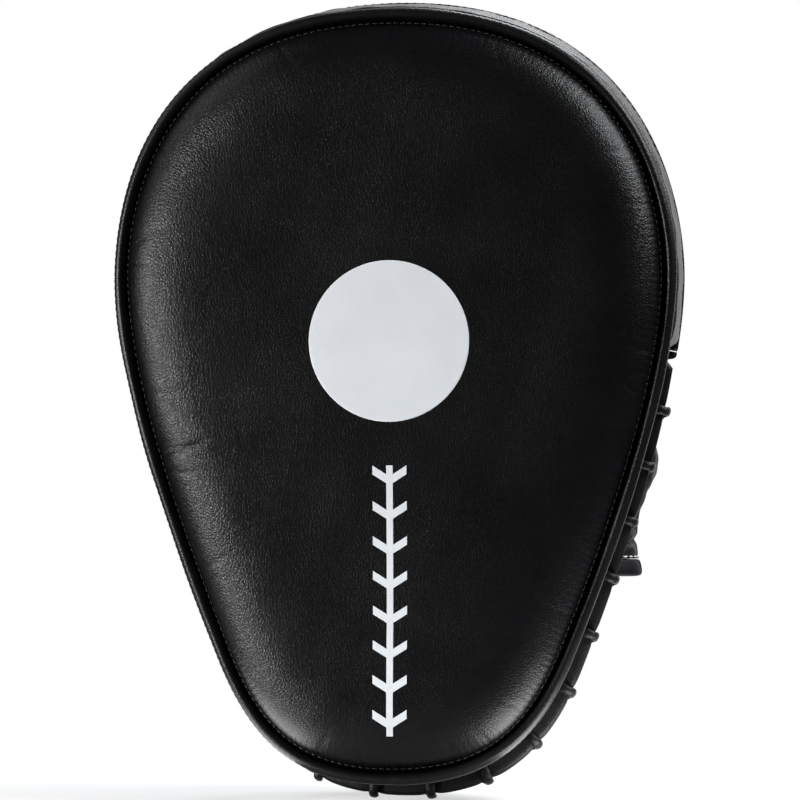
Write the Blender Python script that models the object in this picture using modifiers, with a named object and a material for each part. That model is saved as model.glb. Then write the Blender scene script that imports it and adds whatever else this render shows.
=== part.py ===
"""Focus mitt for the right hand: a pear-shaped striking pad with a finger hood,
a thumb stall, a palm ball and a hook-and-loop wrist strap on its back.

The mitt stands upright. The striking face looks toward -Y, the fingers point to +Z
and the origin is the palm centre on the rear panel. Dimensions are in millimetres.
Every layer is laid out flat and then bent, so that the striking face is hollow
toward the top and the bottom while its middle stays flat.
"""
import math

import bmesh
import bpy
import numpy as np
from mathutils import Matrix

MM = 0.001

# Edge outline of the pad, right half: Bezier knots and handles, heights from the target
TOP_Z = 112.3
TOP_HANDLE = 86.0
WIDE_X = 95.3
WIDE_Z = 23.2
WIDE_HANDLE_UP = 21.9
WIDE_HANDLE_DOWN = 42.6
HIP_X = 59.8
HIP_Z = -106.8
HIP_ANGLE = math.radians(-112)
HIP_HANDLE_UP = 22.4
HIP_HANDLE_DOWN = 32.7
BOTTOM_Z = -149.2
BOTTOM_HANDLE = 30.5

# Bend of the whole pad
PALM_Z = -42.0
FLAT_TOP = 30.0
FLAT_BOTTOM = -60.0
BEND_TOP = 600.0
BEND_BOTTOM = 470.0
NEUTRAL_Y = -28.0

# Insets toward the middle
OFFSET_LIMIT = 28.0
INSET_MIDDLE = 95.0
MIDDLE_Z = -8.0

# Depths, the rear panel's outer surface being at zero
FACE_Y = -40.0
LEATHER = 1.6
GAP = 0.3
PLATE_RINGS = (66.0, 46.0, 28.0)
STATIONS = 52

# Target and face mark
TARGET_RADIUS = 27.3
PRINT_GAP = 0.5
PRINT_THICKNESS = 0.5
MARK_TOP = -42.0
MARK_PITCH = 12.0
MARK_ROWS = 8
MARK_HALF_WIDTH = 5.8
MARK_SPINE = 1.1

# Laced edge
LACE_PITCH = 19.7
LACE_HOLES_PER_SIDE = 9
LACE_RADIUS = 1.15
LACE_STANDOFF = 1.5
HOLE_RADIUS = 1.7
HOLE_DEPTH = 3.1
FLANGE_THUMB_SIDE = -1.5
FLANGE_FAR_SIDE = 0.5
FLANGE_FRONT_Y = -3.4

# Finger hood
HOOD_Z = -3.0
HOOD_SCOOP = 10.0
HOOD_INSET = -1.8
HOOD_SPAN = 98.2
HOOD_STEPS = 24
HOOD_PROFILE = ((-1.8, 0.3), (-1.8, 4.0), (-0.6, 8.0), (2.0, 12.0), (6.5, 17.0), (14.0, 22.5),
                (26.0, 27.5), (42.0, 31.0), (60.0, 32.0), (78.0, 32.0))
HOOD_FOAM = 5.0
HOOD_LINING = 1.0

# Palm ball
BALL_RADIUS = 22.0
BALL_HEIGHT = 21.0
BALL_BASE_Y = 1.6

# Thumb stall, from mouth to tip: centre x, centre y, z, half width, half depth
THUMB_PATH = ((60.0, 20.0, -73.5, 19.4, 17.0), (59.5, 20.0, -65.0, 18.9, 17.0),
              (61.5, 20.0, -55.0, 19.6, 17.0), (65.0, 20.0, -45.0, 20.6, 17.0),
              (66.5, 19.6, -37.0, 19.4, 16.6), (66.5, 18.7, -30.0, 16.0, 14.6),
              (66.0, 17.5, -25.0, 10.5, 10.5), (66.0, 16.5, -22.6, 4.5, 4.8))
THUMB_PADDING = 3.8
THUMB_BINDING = 5.0

# Wrist strap, an arch across the back; angles from the thumb side
STRAP_Z = -104.0
STRAP_WIDTH = 34.0
ARCH_HALF_WIDTH = 36.5
ARCH_HEIGHT = 42.0
ARCH_BASE_Y = 6.0
BAND_OFFSET = 5.2
BAND_THICKNESS = 2.4


def bezier(a, b, c, d, steps):
    """Points of a cubic segment, the last one left to the next segment."""
    t = np.linspace(0.0, 1.0, steps, endpoint=False)[:, None]
    a, b, c, d = (np.array(p, dtype=float) for p in (a, b, c, d))
    return (1 - t) ** 3 * a + 3 * (1 - t) ** 2 * t * b + 3 * (1 - t) * t ** 2 * c + t ** 3 * d


def edge_table():
    """The pad's edge as arc length, x, z and outward normal, from bottom left round to bottom right."""
    hip = np.array((HIP_X, HIP_Z))
    way = np.array((math.cos(HIP_ANGLE), math.sin(HIP_ANGLE)))
    right = np.vstack((
        bezier((0, TOP_Z), (TOP_HANDLE, TOP_Z), (WIDE_X, WIDE_Z + WIDE_HANDLE_UP), (WIDE_X, WIDE_Z), 200),
        bezier((WIDE_X, WIDE_Z), (WIDE_X, WIDE_Z - WIDE_HANDLE_DOWN), hip - way * HIP_HANDLE_UP, hip, 200),
        bezier(hip, hip + way * HIP_HANDLE_DOWN, (BOTTOM_HANDLE, BOTTOM_Z), (0, BOTTOM_Z), 200),
        [(0, BOTTOM_Z)],
    ))
    step = np.hypot(*np.diff(right, axis=0).T)
    length = np.concatenate(([0.0], np.cumsum(step)))
    tangent = np.gradient(right, length, axis=0)
    normal = np.column_stack((-tangent[:, 1], tangent[:, 0]))
    normal /= np.hypot(normal[:, 0], normal[:, 1])[:, None]
    normal[0] = (0, 1)
    normal[-1] = (0, -1)
    left = np.column_stack((-length, -right[:, 0], right[:, 1], -normal[:, 0], normal[:, 1]))
    full = np.column_stack((length, right, normal))
    return np.vstack((left[:0:-1], full))


EDGE = edge_table()
HALF_LENGTH = EDGE[-1, 0]


def at_edge(s, inset):
    """Plan position at arc length s from the top centre, moved inward by inset."""
    x, z, nx, nz = (np.interp(s, EDGE[:, 0], EDGE[:, i]) for i in range(1, 5))
    near = min(inset, OFFSET_LIMIT)
    x -= near * nx
    z -= near * nz
    if inset > OFFSET_LIMIT:
        k = (INSET_MIDDLE - inset) / (INSET_MIDDLE - OFFSET_LIMIT)
        x *= k
        z = MIDDLE_Z + (z - MIDDLE_Z) * k
    return x, z


def edge_length_at(z):
    """Arc length from the top centre to the right-hand edge point at height z."""
    half = EDGE[EDGE[:, 0] >= 0]
    return float(np.interp(-z, -half[:, 2], half[:, 0]))


def bend(x, y, z):
    """A point of the flat layout, moved to its place on the bent pad, from the palm centre."""
    if z > FLAT_TOP:
        angle = (z - FLAT_TOP) / BEND_TOP
        radius = BEND_TOP + y - NEUTRAL_Y
        y = NEUTRAL_Y - BEND_TOP + radius * math.cos(angle)
        z = FLAT_TOP + radius * math.sin(angle)
    elif z < FLAT_BOTTOM:
        angle = (FLAT_BOTTOM - z) / BEND_BOTTOM
        radius = BEND_BOTTOM + y - NEUTRAL_Y
        y = NEUTRAL_Y - BEND_BOTTOM + radius * math.cos(angle)
        z = FLAT_BOTTOM - radius * math.sin(angle)
    return x, y, z - PALM_Z


def offset_profile(points, distance):
    """An open profile of (inset, y) moved by distance to the right of its direction."""
    p = np.array(points, dtype=float)
    t = np.gradient(p, axis=0)
    t /= np.hypot(t[:, 0], t[:, 1])[:, None]
    return [tuple(q) for q in p + distance * np.column_stack((t[:, 1], -t[:, 0]))]


def new_collection(name):
    made = bpy.data.collections.new(name)
    bpy.context.scene.collection.children.link(made)
    return made


def material(name, colour, roughness):
    made = bpy.data.materials.new(name)
    made.use_nodes = True
    shader = made.node_tree.nodes["Principled BSDF"]
    shader.inputs["Base Color"].default_value = (*colour, 1.0)
    shader.inputs["Roughness"].default_value = roughness
    shader.inputs["Metallic"].default_value = 0.0
    return made


def add_piece(name, mesh, look, smooth=True):
    """Places a mesh as one named piece of the mitt, with a material of its own."""
    mesh.name = name
    mesh.materials.clear()
    mesh.materials.append(material(name, *look))
    piece = bpy.data.objects.new(name, mesh)
    MITT.objects.link(piece)
    for face in mesh.polygons:
        face.use_smooth = smooth
    if smooth:
        mesh.set_sharp_from_angle(angle=math.radians(50))
    return piece


def mesh_of(points, faces):
    """A closed mesh with outward faces, still in millimetres."""
    mesh = bpy.data.meshes.new("piece")
    mesh.from_pydata([tuple(p) for p in points], [], faces)
    work = bmesh.new()
    work.from_mesh(mesh)
    bmesh.ops.recalc_face_normals(work, faces=work.faces)
    work.to_mesh(mesh)
    work.free()
    return mesh


def to_metres(mesh, bent=True):
    """Bends a flat mesh if asked, and turns it into metres."""
    work = bmesh.new()
    work.from_mesh(mesh)
    bmesh.ops.triangulate(work, faces=[f for f in work.faces if len(f.verts) > 4])
    for v in work.verts:
        x, y, z = bend(*v.co) if bent else v.co
        v.co = (x * MM, y * MM, z * MM)
    work.to_mesh(mesh)
    work.free()
    return mesh


def loft(sections, around=True, start="open", end="open"):
    """Skins equal sections; around closes each one, and an end is open, capped or a loop to the start."""
    count = len(sections[0])
    points = [p for section in sections for p in section]
    faces = []
    rows = len(sections) if end == "loop" else len(sections) - 1
    for i in range(rows):
        a = i * count
        b = ((i + 1) % len(sections)) * count
        for j in range(count if around else count - 1):
            k = (j + 1) % count
            faces.append((a + j, a + k, b + k, b + j))
    for base, kind in ((0, start), ((len(sections) - 1) * count, end)):
        if kind == "cap":
            faces.append(tuple(range(base, base + count)))
        elif kind == "fan":
            ring = np.array(points[base:base + count], dtype=float)
            points.append(tuple(ring.mean(axis=0)))
            hub = len(points) - 1
            faces.extend((base + j, base + (j + 1) % count, hub) for j in range(count))
    return mesh_of(points, faces)


def pad_stack(profile):
    """A full layer of the pad: rings of (inset, y), filled at both ends in the middle."""
    stations = np.linspace(-HALF_LENGTH, HALF_LENGTH, STATIONS, endpoint=False)
    rings = []
    for inset, y in profile:
        plan = [at_edge(s, inset) for s in stations]
        rings.append([(x, y, z) for x, z in plan])
    return loft(rings, start="fan", end="fan")


def pad_band(profile_at, stations, closed):
    """A strip round the pad's edge with a closed section of (inset, y) at each station."""
    sections = []
    for s in stations:
        section = []
        for inset, y in profile_at(s):
            x, z = at_edge(s, inset)
            section.append((x, y, z))
        sections.append(section)
    if closed:
        return loft(sections, end="loop")
    return loft(sections, start="cap", end="cap")


def plate(edge, front, back):
    """A full layer of even thickness; edge lists the (inset, y) points of its rim, from front to back."""
    inner = list(PLATE_RINGS)
    return pad_stack([(i, front) for i in inner] + list(edge) + [(i, back) for i in reversed(inner)])


def oval(centre, radii, count):
    """Closed (inset, y) section in the shape of an ellipse."""
    turns = [2 * math.pi * i / count for i in range(count)]
    return [(centre[0] + radii[0] * math.cos(t), centre[1] + radii[1] * math.sin(t)) for t in turns]


def cut(mesh, cutter_mesh):
    """The mesh less the cutter, by an exact Boolean."""
    body = bpy.data.objects.new("body", mesh)
    cutter = bpy.data.objects.new("cutter", cutter_mesh)
    for item in (body, cutter):
        bpy.context.scene.collection.objects.link(item)
    step = body.modifiers.new("holes", "BOOLEAN")
    step.operation = "DIFFERENCE"
    step.solver = "EXACT"
    step.object = cutter
    result = applied(body)
    bpy.data.objects.remove(cutter)
    return result


def applied(item):
    """The item's mesh with its modifiers or its curve settings applied; the item is removed."""
    bpy.context.view_layer.update()
    graph = bpy.context.evaluated_depsgraph_get()
    mesh = bpy.data.meshes.new_from_object(item.evaluated_get(graph))
    bpy.data.objects.remove(item)
    work = bmesh.new()
    work.from_mesh(mesh)
    bmesh.ops.remove_doubles(work, verts=work.verts, dist=0.00005)
    bmesh.ops.recalc_face_normals(work, faces=work.faces)
    work.to_mesh(mesh)
    work.free()
    return mesh


def turned(profile, steps):
    """A solid turned about the Y axis from (radius, y) points that start and end on it."""
    mesh = bpy.data.meshes.new("profile")
    points = [(r, 0.0, y) for r, y in profile]
    mesh.from_pydata(points, [(i, i + 1) for i in range(len(points) - 1)], [])
    item = bpy.data.objects.new("turned", mesh)
    bpy.context.scene.collection.objects.link(item)
    screw = item.modifiers.new("turn", "SCREW")
    screw.steps = steps
    screw.render_steps = steps
    screw.use_merge_vertices = True
    screw.merge_threshold = 0.0001
    made = applied(item)
    made.transform(Matrix(((1, 0, 0, 0), (0, 0, 1, 0), (0, -1, 0, 0), (0, 0, 0, 1))))
    return made


def shifted(mesh, x, y, z):
    for v in mesh.vertices:
        v.co.x += x
        v.co.y += y
        v.co.z += z
    return mesh


def rounded_block(size, radius, segments):
    """A box of the given size, centred, with its edges rounded by a bevel."""
    mesh = bpy.data.meshes.new("block")
    work = bmesh.new()
    bmesh.ops.create_cube(work, size=1.0)
    for v in work.verts:
        v.co.x *= size[0]
        v.co.y *= size[1]
        v.co.z *= size[2]
    work.to_mesh(mesh)
    work.free()
    item = bpy.data.objects.new("block", mesh)
    bpy.context.scene.collection.objects.link(item)
    bevel = item.modifiers.new("edges", "BEVEL")
    bevel.width = radius
    bevel.segments = segments
    return applied(item)


# Looks: colour and roughness
BLACK_LEATHER = ((0.012, 0.012, 0.014), 0.45)
REAR_LEATHER = ((0.018, 0.018, 0.019), 0.55)
HOOD_LEATHER = ((0.030, 0.031, 0.033), 0.42)
GLOSS_LEATHER = ((0.009, 0.009, 0.010), 0.30)
WHITE_PRINT = ((0.72, 0.74, 0.76), 0.50)
LINING = ((0.045, 0.045, 0.048), 0.92)
FOAM = ((0.20, 0.20, 0.21), 0.90)
DENSE_FOAM = ((0.10, 0.10, 0.11), 0.85)
HOOK_TAPE = ((0.020, 0.020, 0.022), 0.95)

for old in list(bpy.data.objects):
    bpy.data.objects.remove(old)
MITT = new_collection("focus_mitt")

# Striking face: a domed leather shell, open at the back
FACE_PROFILE = ((3.0, -26.2), (3.4, -28.8), (4.5, -31.4), (6.6, -34.0), (9.9, -36.4), (14.4, -38.2),
                (20.2, -39.4), (27.2, -39.9))
FACE_RINGS = ((37.0, FACE_Y), (46.0, FACE_Y), (56.0, FACE_Y), (66.0, FACE_Y))
face_inside = offset_profile(FACE_PROFILE, -LEATHER)[:-1]
face_inside += [(i, FACE_Y + LEATHER) for i in reversed(PLATE_RINGS)]
mesh = pad_stack(list(reversed(face_inside)) + list(FACE_PROFILE + FACE_RINGS))
add_piece("striking_face", to_metres(mesh), BLACK_LEATHER)

# Printed target, flat on the middle of the face
print_back = FACE_Y - PRINT_GAP
print_front = print_back - PRINT_THICKNESS
disc_section = ((0, print_back), (TARGET_RADIUS, print_back), (TARGET_RADIUS, print_front), (0, print_front))
mesh = turned(disc_section, 64)
add_piece("target_disc", to_metres(mesh), WHITE_PRINT)

# Printed mark below the target: a plain spine with rows of slanting barbs, following the face down its dome


def mark_place(x, z):
    """A point of the mark's back, lying over the leather at height z."""
    inset = [ring[0] for ring in FACE_PROFILE + FACE_RINGS]
    depth = [ring[1] for ring in FACE_PROFILE + FACE_RINGS]
    return x, float(np.interp(z - BOTTOM_Z, inset, depth)) - PRINT_GAP, z


mark_points = []
mark_faces = []
for row in range(MARK_ROWS):
    z = MARK_TOP - row * MARK_PITCH
    levels = (z, z - 3.0, z - 6.0, z - 9.0)
    for level in levels:
        mark_points += [mark_place(-MARK_SPINE, level), mark_place(MARK_SPINE, level)]
    base = row * 12
    mark_faces += [(base, base + 1, base + 3, base + 2), (base + 2, base + 3, base + 5, base + 4),
                   (base + 4, base + 5, base + 7, base + 6)]
    for side in (-1, 1):
        mark_points += [mark_place(side * MARK_HALF_WIDTH, z), mark_place(side * MARK_HALF_WIDTH, z - 3.0)]
    mark_faces += [(base + 2, base + 4, base + 9, base + 8), (base + 3, base + 10, base + 11, base + 5)]
    if row < MARK_ROWS - 1:
        mark_faces.append((base + 6, base + 7, base + 13, base + 12))
sheet = bpy.data.meshes.new("mark")
sheet.from_pydata(mark_points, [], mark_faces)
item = bpy.data.objects.new("mark", sheet)
bpy.context.scene.collection.objects.link(item)
thick = item.modifiers.new("thickness", "SOLIDIFY")
thick.thickness = PRINT_THICKNESS
thick.offset = -1.0
mesh = applied(item)
add_piece("face_mark", to_metres(mesh), WHITE_PRINT, smooth=False)

# Padding, from the face to the back
impact_rim = [(max(inset, 5.8), y) for inset, y in offset_profile(face_inside[:-3], -GAP) if y < -27.9]
mesh = plate([(5.8, -27.4)] + impact_rim, -27.4, FACE_Y + LEATHER + GAP)
add_piece("impact_foam", to_metres(mesh), FOAM)
mesh = plate(((7.8, -9.0), (7.8, -24.0), (10.0, -27.1)), -9.0, -27.1)
add_piece("core_foam", to_metres(mesh), DENSE_FOAM)
mesh = plate(((8.0, -3.9), (8.0, -8.7)), -3.9, -8.7)
add_piece("backing_board", to_metres(mesh), DENSE_FOAM)

# Rolled lip between the face and the side wall, with a flat tail sewn in between them
lip = ((-1.4, -28.0), (-1.0, -29.3), (0.0, -30.1), (0.9, -30.3), (1.8, -29.8), (2.3, -28.8), (2.4, -27.4),
       (2.5, -25.9), (7.2, -25.9), (7.2, -25.6), (0.8, -25.6), (-0.7, -26.3))
everywhere = np.linspace(-HALF_LENGTH, HALF_LENGTH, STATIONS, endpoint=False)
mesh = pad_band(lambda s: lip, everywhere, True)
add_piece("edge_lip", to_metres(mesh), GLOSS_LEATHER)

# Side wall, with a flange turned outward along the laced part of the edge
HOOD_S = edge_length_at(HOOD_Z)
LACED_S = edge_length_at(HOOD_Z - 5.0)


def flange_edge(s):
    """Inset of the laced flange's edge, which is wider on the thumb side; it changes over at the bottom."""
    middle = (FLANGE_THUMB_SIDE + FLANGE_FAR_SIDE) / 2
    lean = min((HALF_LENGTH - abs(s)) / 60.0, 1.0)
    return middle + math.copysign(lean, s) * (FLANGE_THUMB_SIDE - middle)


def flange_inset(s, tucked):
    """Where the flange ends at arc length s: full along the laced part, tucked in under the hood."""
    share = (abs(s) - HOOD_S - 0.8) / (LACED_S - HOOD_S)
    share = min(max(share, 0.0), 1.0)
    return tucked + (flange_edge(s) - tucked) * share


def side_section(s):
    """Side wall and flange at arc length s."""
    out = flange_inset(s, 5.4)
    mid = FLANGE_FRONT_Y + 1.5
    front = FLANGE_FRONT_Y
    return ((7.4, -25.3), (6.0, -25.3), (6.0, front - 0.8), (5.4, front), (out + 0.4, front),
            (out, front + 0.5), (out, mid), (7.4, mid))


joints = np.array((HOOD_S + 0.8, LACED_S + 0.8, HOOD_S - 3.0, LACED_S + 4.0))
edge_stations = np.sort(np.concatenate((everywhere, joints, -joints)))
side_wall = pad_band(side_section, edge_stations, True)

# Rear panel
rear_rings = []
for inset, y in ((0.0, -1.6), (0.0, -0.4), (0.4, 0.0)):
    rear_rings.append([(inset + flange_inset(s, 4.3), y) for s in edge_stations])
rings = []
for inset in PLATE_RINGS:
    rings.append([(inset, -1.6)] * len(edge_stations))
rings += rear_rings
for inset in reversed(PLATE_RINGS):
    rings.append([(inset, 0.0)] * len(edge_stations))
sections = []
for ring in rings:
    plan = [(at_edge(s, inset), y) for s, (inset, y) in zip(edge_stations, ring)]
    sections.append([(x, y, z) for (x, z), y in plan])
rear_panel = loft(sections, start="fan", end="fan")

# Lace holes, punched through the flange and the rear panel together
hole_stations = []
for i in range(LACE_HOLES_PER_SIDE):
    reach = HALF_LENGTH - LACE_PITCH * (i + 0.5)
    hole_stations += [reach, -reach]
hole_stations.sort()
right_holes = [s for s in hole_stations if s > 0]
left_holes = [s for s in hole_stations if s < 0]
punch = bpy.data.meshes.new("punch")
work = bmesh.new()
for s in hole_stations:
    x, z = at_edge(s, flange_edge(s) + HOLE_DEPTH)
    made = bmesh.ops.create_cone(work, cap_ends=True, segments=12, radius1=HOLE_RADIUS,
                                 radius2=HOLE_RADIUS, depth=9.0)
    for v in made["verts"]:
        v.co = (v.co.x + x, -v.co.z, v.co.y + z)
work.to_mesh(punch)
work.free()
side_wall = cut(side_wall, punch.copy())
rear_panel = cut(rear_panel, punch)
add_piece("side_wall", to_metres(side_wall), BLACK_LEATHER)
add_piece("rear_panel", to_metres(rear_panel), REAR_LEATHER)

# Edge lace: one length, whipped through every hole and over the flange, from thumb side to far side.
# Each stitch is (along, inset from the flange's edge, y).
OVER = LACE_STANDOFF
FRONT = FLANGE_FRONT_Y - OVER
STITCH = ((-4.0, HOLE_DEPTH + 0.2, OVER), (-1.0, HOLE_DEPTH + 0.1, OVER - 0.3), (0.0, HOLE_DEPTH, -0.4),
          (0.0, HOLE_DEPTH, -3.6), (0.0, 2.3, FRONT + 0.1), (0.0, 0.5, FRONT - 0.1),
          (0.0, -1.1, -4.2), (0.0, -OVER - 0.1, -2.4), (0.2, -OVER, -0.2), (1.2, 0.0, OVER + 0.05),
          (4.0, 1.4, OVER + 0.05))
travel = sorted(right_holes + [2 * HALF_LENGTH + s for s in left_holes])
lace_points = []
for hole in travel:
    for along, inset, y in STITCH:
        s = hole + along
        if s > HALF_LENGTH:
            s -= 2 * HALF_LENGTH
        x, z = at_edge(s, flange_edge(s) + inset)
        lace_points.append((x, y, z))
curve = bpy.data.curves.new("lace", "CURVE")
curve.dimensions = "3D"
curve.bevel_depth = LACE_RADIUS
curve.bevel_resolution = 1
curve.use_fill_caps = True
spline = curve.splines.new("POLY")
spline.points.add(len(lace_points) - 1)
for point, place in zip(spline.points, lace_points):
    point.co = (*place, 1.0)
item = bpy.data.objects.new("lace", curve)
bpy.context.scene.collection.objects.link(item)
add_piece("edge_lace", to_metres(applied(item)), GLOSS_LEATHER)

# Palm lining on the rear panel
mesh = plate(((9.0, 0.3), (9.0, 1.3)), 0.3, 1.3)
add_piece("palm_lining", to_metres(mesh), LINING)

# Finger hood: a padded side band round the upper edge, and a domed top in three layers
hood_stations = np.linspace(-HOOD_S, HOOD_S, HOOD_STEPS + 1)
band_section = ((3.9, -0.4), (-1.2, -0.4), (HOOD_INSET, -1.2), (HOOD_INSET, -23.2), (-1.2, -24.4),
                (2.6, -24.9), (3.9, -24.2))
mesh = pad_band(lambda s: band_section, hood_stations, False)
add_piece("hood_side_band", to_metres(mesh), HOOD_LEATHER)


def hood_point(s, inset, y):
    """A point of the hood: the edge at arc length s drawn toward the middle of the mouth."""
    k = 1.0 - (inset - HOOD_INSET) / HOOD_SPAN
    x, z = at_edge(s, HOOD_INSET)
    return x * k, y, HOOD_Z + (z - HOOD_Z) * k + HOOD_SCOOP * (1.0 - k * k)


def hood_layer(outer, inner):
    """One layer of the hood between two profiles, open at the mouth and below."""
    profile = list(outer) + list(reversed(inner))
    turn = len(outer)
    sections = [[hood_point(s, inset, y) for inset, y in profile] for s in hood_stations]
    hub_outer = hood_point(0, HOOD_INSET + HOOD_SPAN, outer[-1][1])
    hub_inner = hood_point(0, HOOD_INSET + HOOD_SPAN, inner[-1][1])
    points = [p for section in sections for p in section]
    count = len(profile)
    faces = []
    for i in range(len(sections) - 1):
        a = i * count
        b = a + count
        for j in range(count):
            if j == turn - 1:
                continue
            k = (j + 1) % count
            faces.append((a + j, a + k, b + k, b + j))
    top = len(points)
    points += [hub_outer, hub_inner]
    for i in range(len(sections) - 1):
        a = i * count
        b = a + count
        faces.append((a + turn - 1, b + turn - 1, top))
        faces.append((a + turn, top + 1, b + turn))
    for base in (0, (len(sections) - 1) * count):
        for j in range(turn - 1):
            faces.append((base + j, base + j + 1, base + count - 2 - j, base + count - 1 - j))
        faces.append((base + turn - 1, top, top + 1, base + turn))
    return mesh_of(points, faces)


def hood_profile(depth):
    """The hood's outer profile moved inward by depth, standing on the rear panel's edge."""
    moved = offset_profile(HOOD_PROFILE, depth)
    return [(inset, max(y, 0.3)) for inset, y in moved]


foam_out = LEATHER + GAP
foam_in = foam_out + HOOD_FOAM
lining_out = foam_in + GAP
lining_in = lining_out + HOOD_LINING
add_piece("hood_cover", to_metres(hood_layer(hood_profile(0), hood_profile(LEATHER))), HOOD_LEATHER)
add_piece("hood_foam", to_metres(hood_layer(hood_profile(foam_out), hood_profile(foam_in))), FOAM)
add_piece("hood_lining", to_metres(hood_layer(hood_profile(lining_out), hood_profile(lining_in))), LINING)

# Binding along the mouth of the hood
outer = hood_profile(0)[1:]
inner = hood_profile(lining_in)[1:]
arch = []
for side in (-1, 1):
    pairs = [(hood_point(side * HOOD_S, *a), hood_point(side * HOOD_S, *b)) for a, b in zip(outer, inner)]
    arch += pairs if side < 0 else list(reversed(pairs))
sections = []
for a, b in arch:
    low = -GAP
    sections.append([(a[0], a[1], a[2] + low), (a[0], a[1], a[2] + low - 1.6),
                     ((3 * a[0] + b[0]) / 4, (3 * a[1] + b[1]) / 4, (3 * a[2] + b[2]) / 4 + low - 3.2),
                     ((a[0] + 3 * b[0]) / 4, (a[1] + 3 * b[1]) / 4, (a[2] + 3 * b[2]) / 4 + low - 3.2),
                     (b[0], b[1], b[2] + low - 1.6), (b[0], b[1], b[2] + low)])
add_piece("hood_binding", to_metres(loft(sections, start="cap", end="cap")), GLOSS_LEATHER)

# Palm ball: a leather dome over a dense core, sewn to the palm lining
turns = [math.pi / 2 * i / 6 for i in range(7)]
dome = [(BALL_RADIUS * math.cos(t), BALL_BASE_Y + BALL_HEIGHT * math.sin(t)) for t in turns]
core_radius = BALL_RADIUS - LEATHER - GAP
core_height = BALL_HEIGHT - LEATHER - GAP
inner_radius = BALL_RADIUS - LEATHER
inner_height = BALL_HEIGHT - LEATHER
shell_in = [(inner_radius * math.cos(t), BALL_BASE_Y + inner_height * math.sin(t)) for t in turns]
core = [(core_radius * math.cos(t), BALL_BASE_Y + 0.1 + core_height * math.sin(t)) for t in turns]
dome[-1] = (0.0, dome[-1][1])
shell_in[-1] = (0.0, shell_in[-1][1])
core[-1] = (0.0, core[-1][1])
mesh = shifted(turned(list(reversed(dome)) + shell_in, 24), 0, 0, PALM_Z)
add_piece("palm_ball_cover", to_metres(mesh), REAR_LEATHER)
mesh = shifted(turned([(0.0, BALL_BASE_Y + 0.1)] + core, 24), 0, 0, PALM_Z)
add_piece("palm_ball_core", to_metres(mesh), DENSE_FOAM)


def thumb_ring(station, shrink, height):
    """A section of the thumb stall, drawn in by shrink."""
    cx, cy, _, half_w, half_d = station
    turns = [2 * math.pi * i / 20 for i in range(20)]
    wide = half_w - shrink
    deep = half_d - shrink
    return [(cx + wide * math.cos(t), cy + deep * math.sin(t), height) for t in turns]


def thumb_surface(shrink):
    """The thumb stall's sections from mouth to tip, drawn in by shrink."""
    last = len(THUMB_PATH) - 1
    kept = [(i, p) for i, p in enumerate(THUMB_PATH) if p[3] - shrink > 2.4]
    return [thumb_ring(p, shrink, p[2] - shrink * i / last) for i, p in kept]


def thumb_cup(outside, inside):
    """A closed-ended sleeve of the thumb stall between two depths, open at the mouth."""
    return loft(list(reversed(thumb_surface(outside))) + thumb_surface(inside), start="fan", end="fan")


add_piece("thumb_shell", to_metres(thumb_cup(0.0, LEATHER)), BLACK_LEATHER)
add_piece("thumb_padding", to_metres(thumb_cup(LEATHER + GAP, LEATHER + GAP + THUMB_PADDING)), LINING)
mouth = THUMB_PATH[0]
mouth_z = mouth[2] - GAP
deep = LEATHER + GAP + THUMB_PADDING + 0.4
rim = [(deep, 0.0), (-0.3, 0.0), (-0.7, 1.2), (-0.7, THUMB_BINDING - 1.2), (0.5, THUMB_BINDING),
       (deep - 0.8, THUMB_BINDING), (deep, THUMB_BINDING - 1.0)]
rings = [thumb_ring(mouth, shrink, mouth_z - down) for shrink, down in rim]
add_piece("thumb_binding", to_metres(loft(rings, end="loop")), GLOSS_LEATHER)

strip = rounded_block((16.0, 1.1, 36.0), 0.3, 1)
add_piece("thumb_anchor_strip", to_metres(shifted(strip, 55.0, 1.6 + 0.55, -51.0)), REAR_LEATHER)

# Wrist strap, built straight in its own frame, with its hinge line through the origin
TILT = -(FLAT_BOTTOM - STRAP_Z) / BEND_BOTTOM
HINGE_X = -(ARCH_HALF_WIDTH + BAND_OFFSET + BAND_THICKNESS / 2)
HINGE_Y = ARCH_BASE_Y
strap_foot = bend(0.0, 0.0, STRAP_Z)
hinge_place = (HINGE_X * MM,
               (strap_foot[1] + HINGE_Y * math.cos(TILT)) * MM,
               (strap_foot[2] + HINGE_Y * math.sin(TILT)) * MM)


def strap_piece(name, mesh, look, parent=None):
    """Places a piece drawn in the strap's frame, its origin on the hinge line."""
    mesh = to_metres(shifted(mesh, -HINGE_X, -HINGE_Y, 0.0), bent=False)
    piece = add_piece(name, mesh, look)
    if parent:
        piece.parent = parent
    else:
        piece.location = hinge_place
        piece.rotation_euler = (TILT, 0.0, 0.0)
    return piece


def arch_strip(start, end, inner, outer, width, steps, edge=0.5):
    """A strip along the strap's arch between two angles in degrees and two offsets."""
    half = width / 2
    sections = []
    for i in range(steps + 1):
        t = math.radians(start + (end - start) * i / steps)
        section = []
        for offset, z in ((inner, -half + edge), (inner + edge, -half), (outer - edge, -half),
                          (outer, -half + edge), (outer, half - edge), (outer - edge, half),
                          (inner + edge, half), (inner, half - edge)):
            x = (ARCH_HALF_WIDTH + offset) * math.cos(t)
            y = ARCH_BASE_Y + (ARCH_HEIGHT + offset) * math.sin(t)
            section.append((x, y, z))
        sections.append(section)
    return loft(sections, start="cap", end="cap")


strap_axis = bpy.data.objects.new("strap_axis", None)
strap_axis.location = hinge_place
strap_axis.rotation_euler = (TILT, 0.0, 0.0)
MITT.objects.link(strap_axis)

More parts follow.
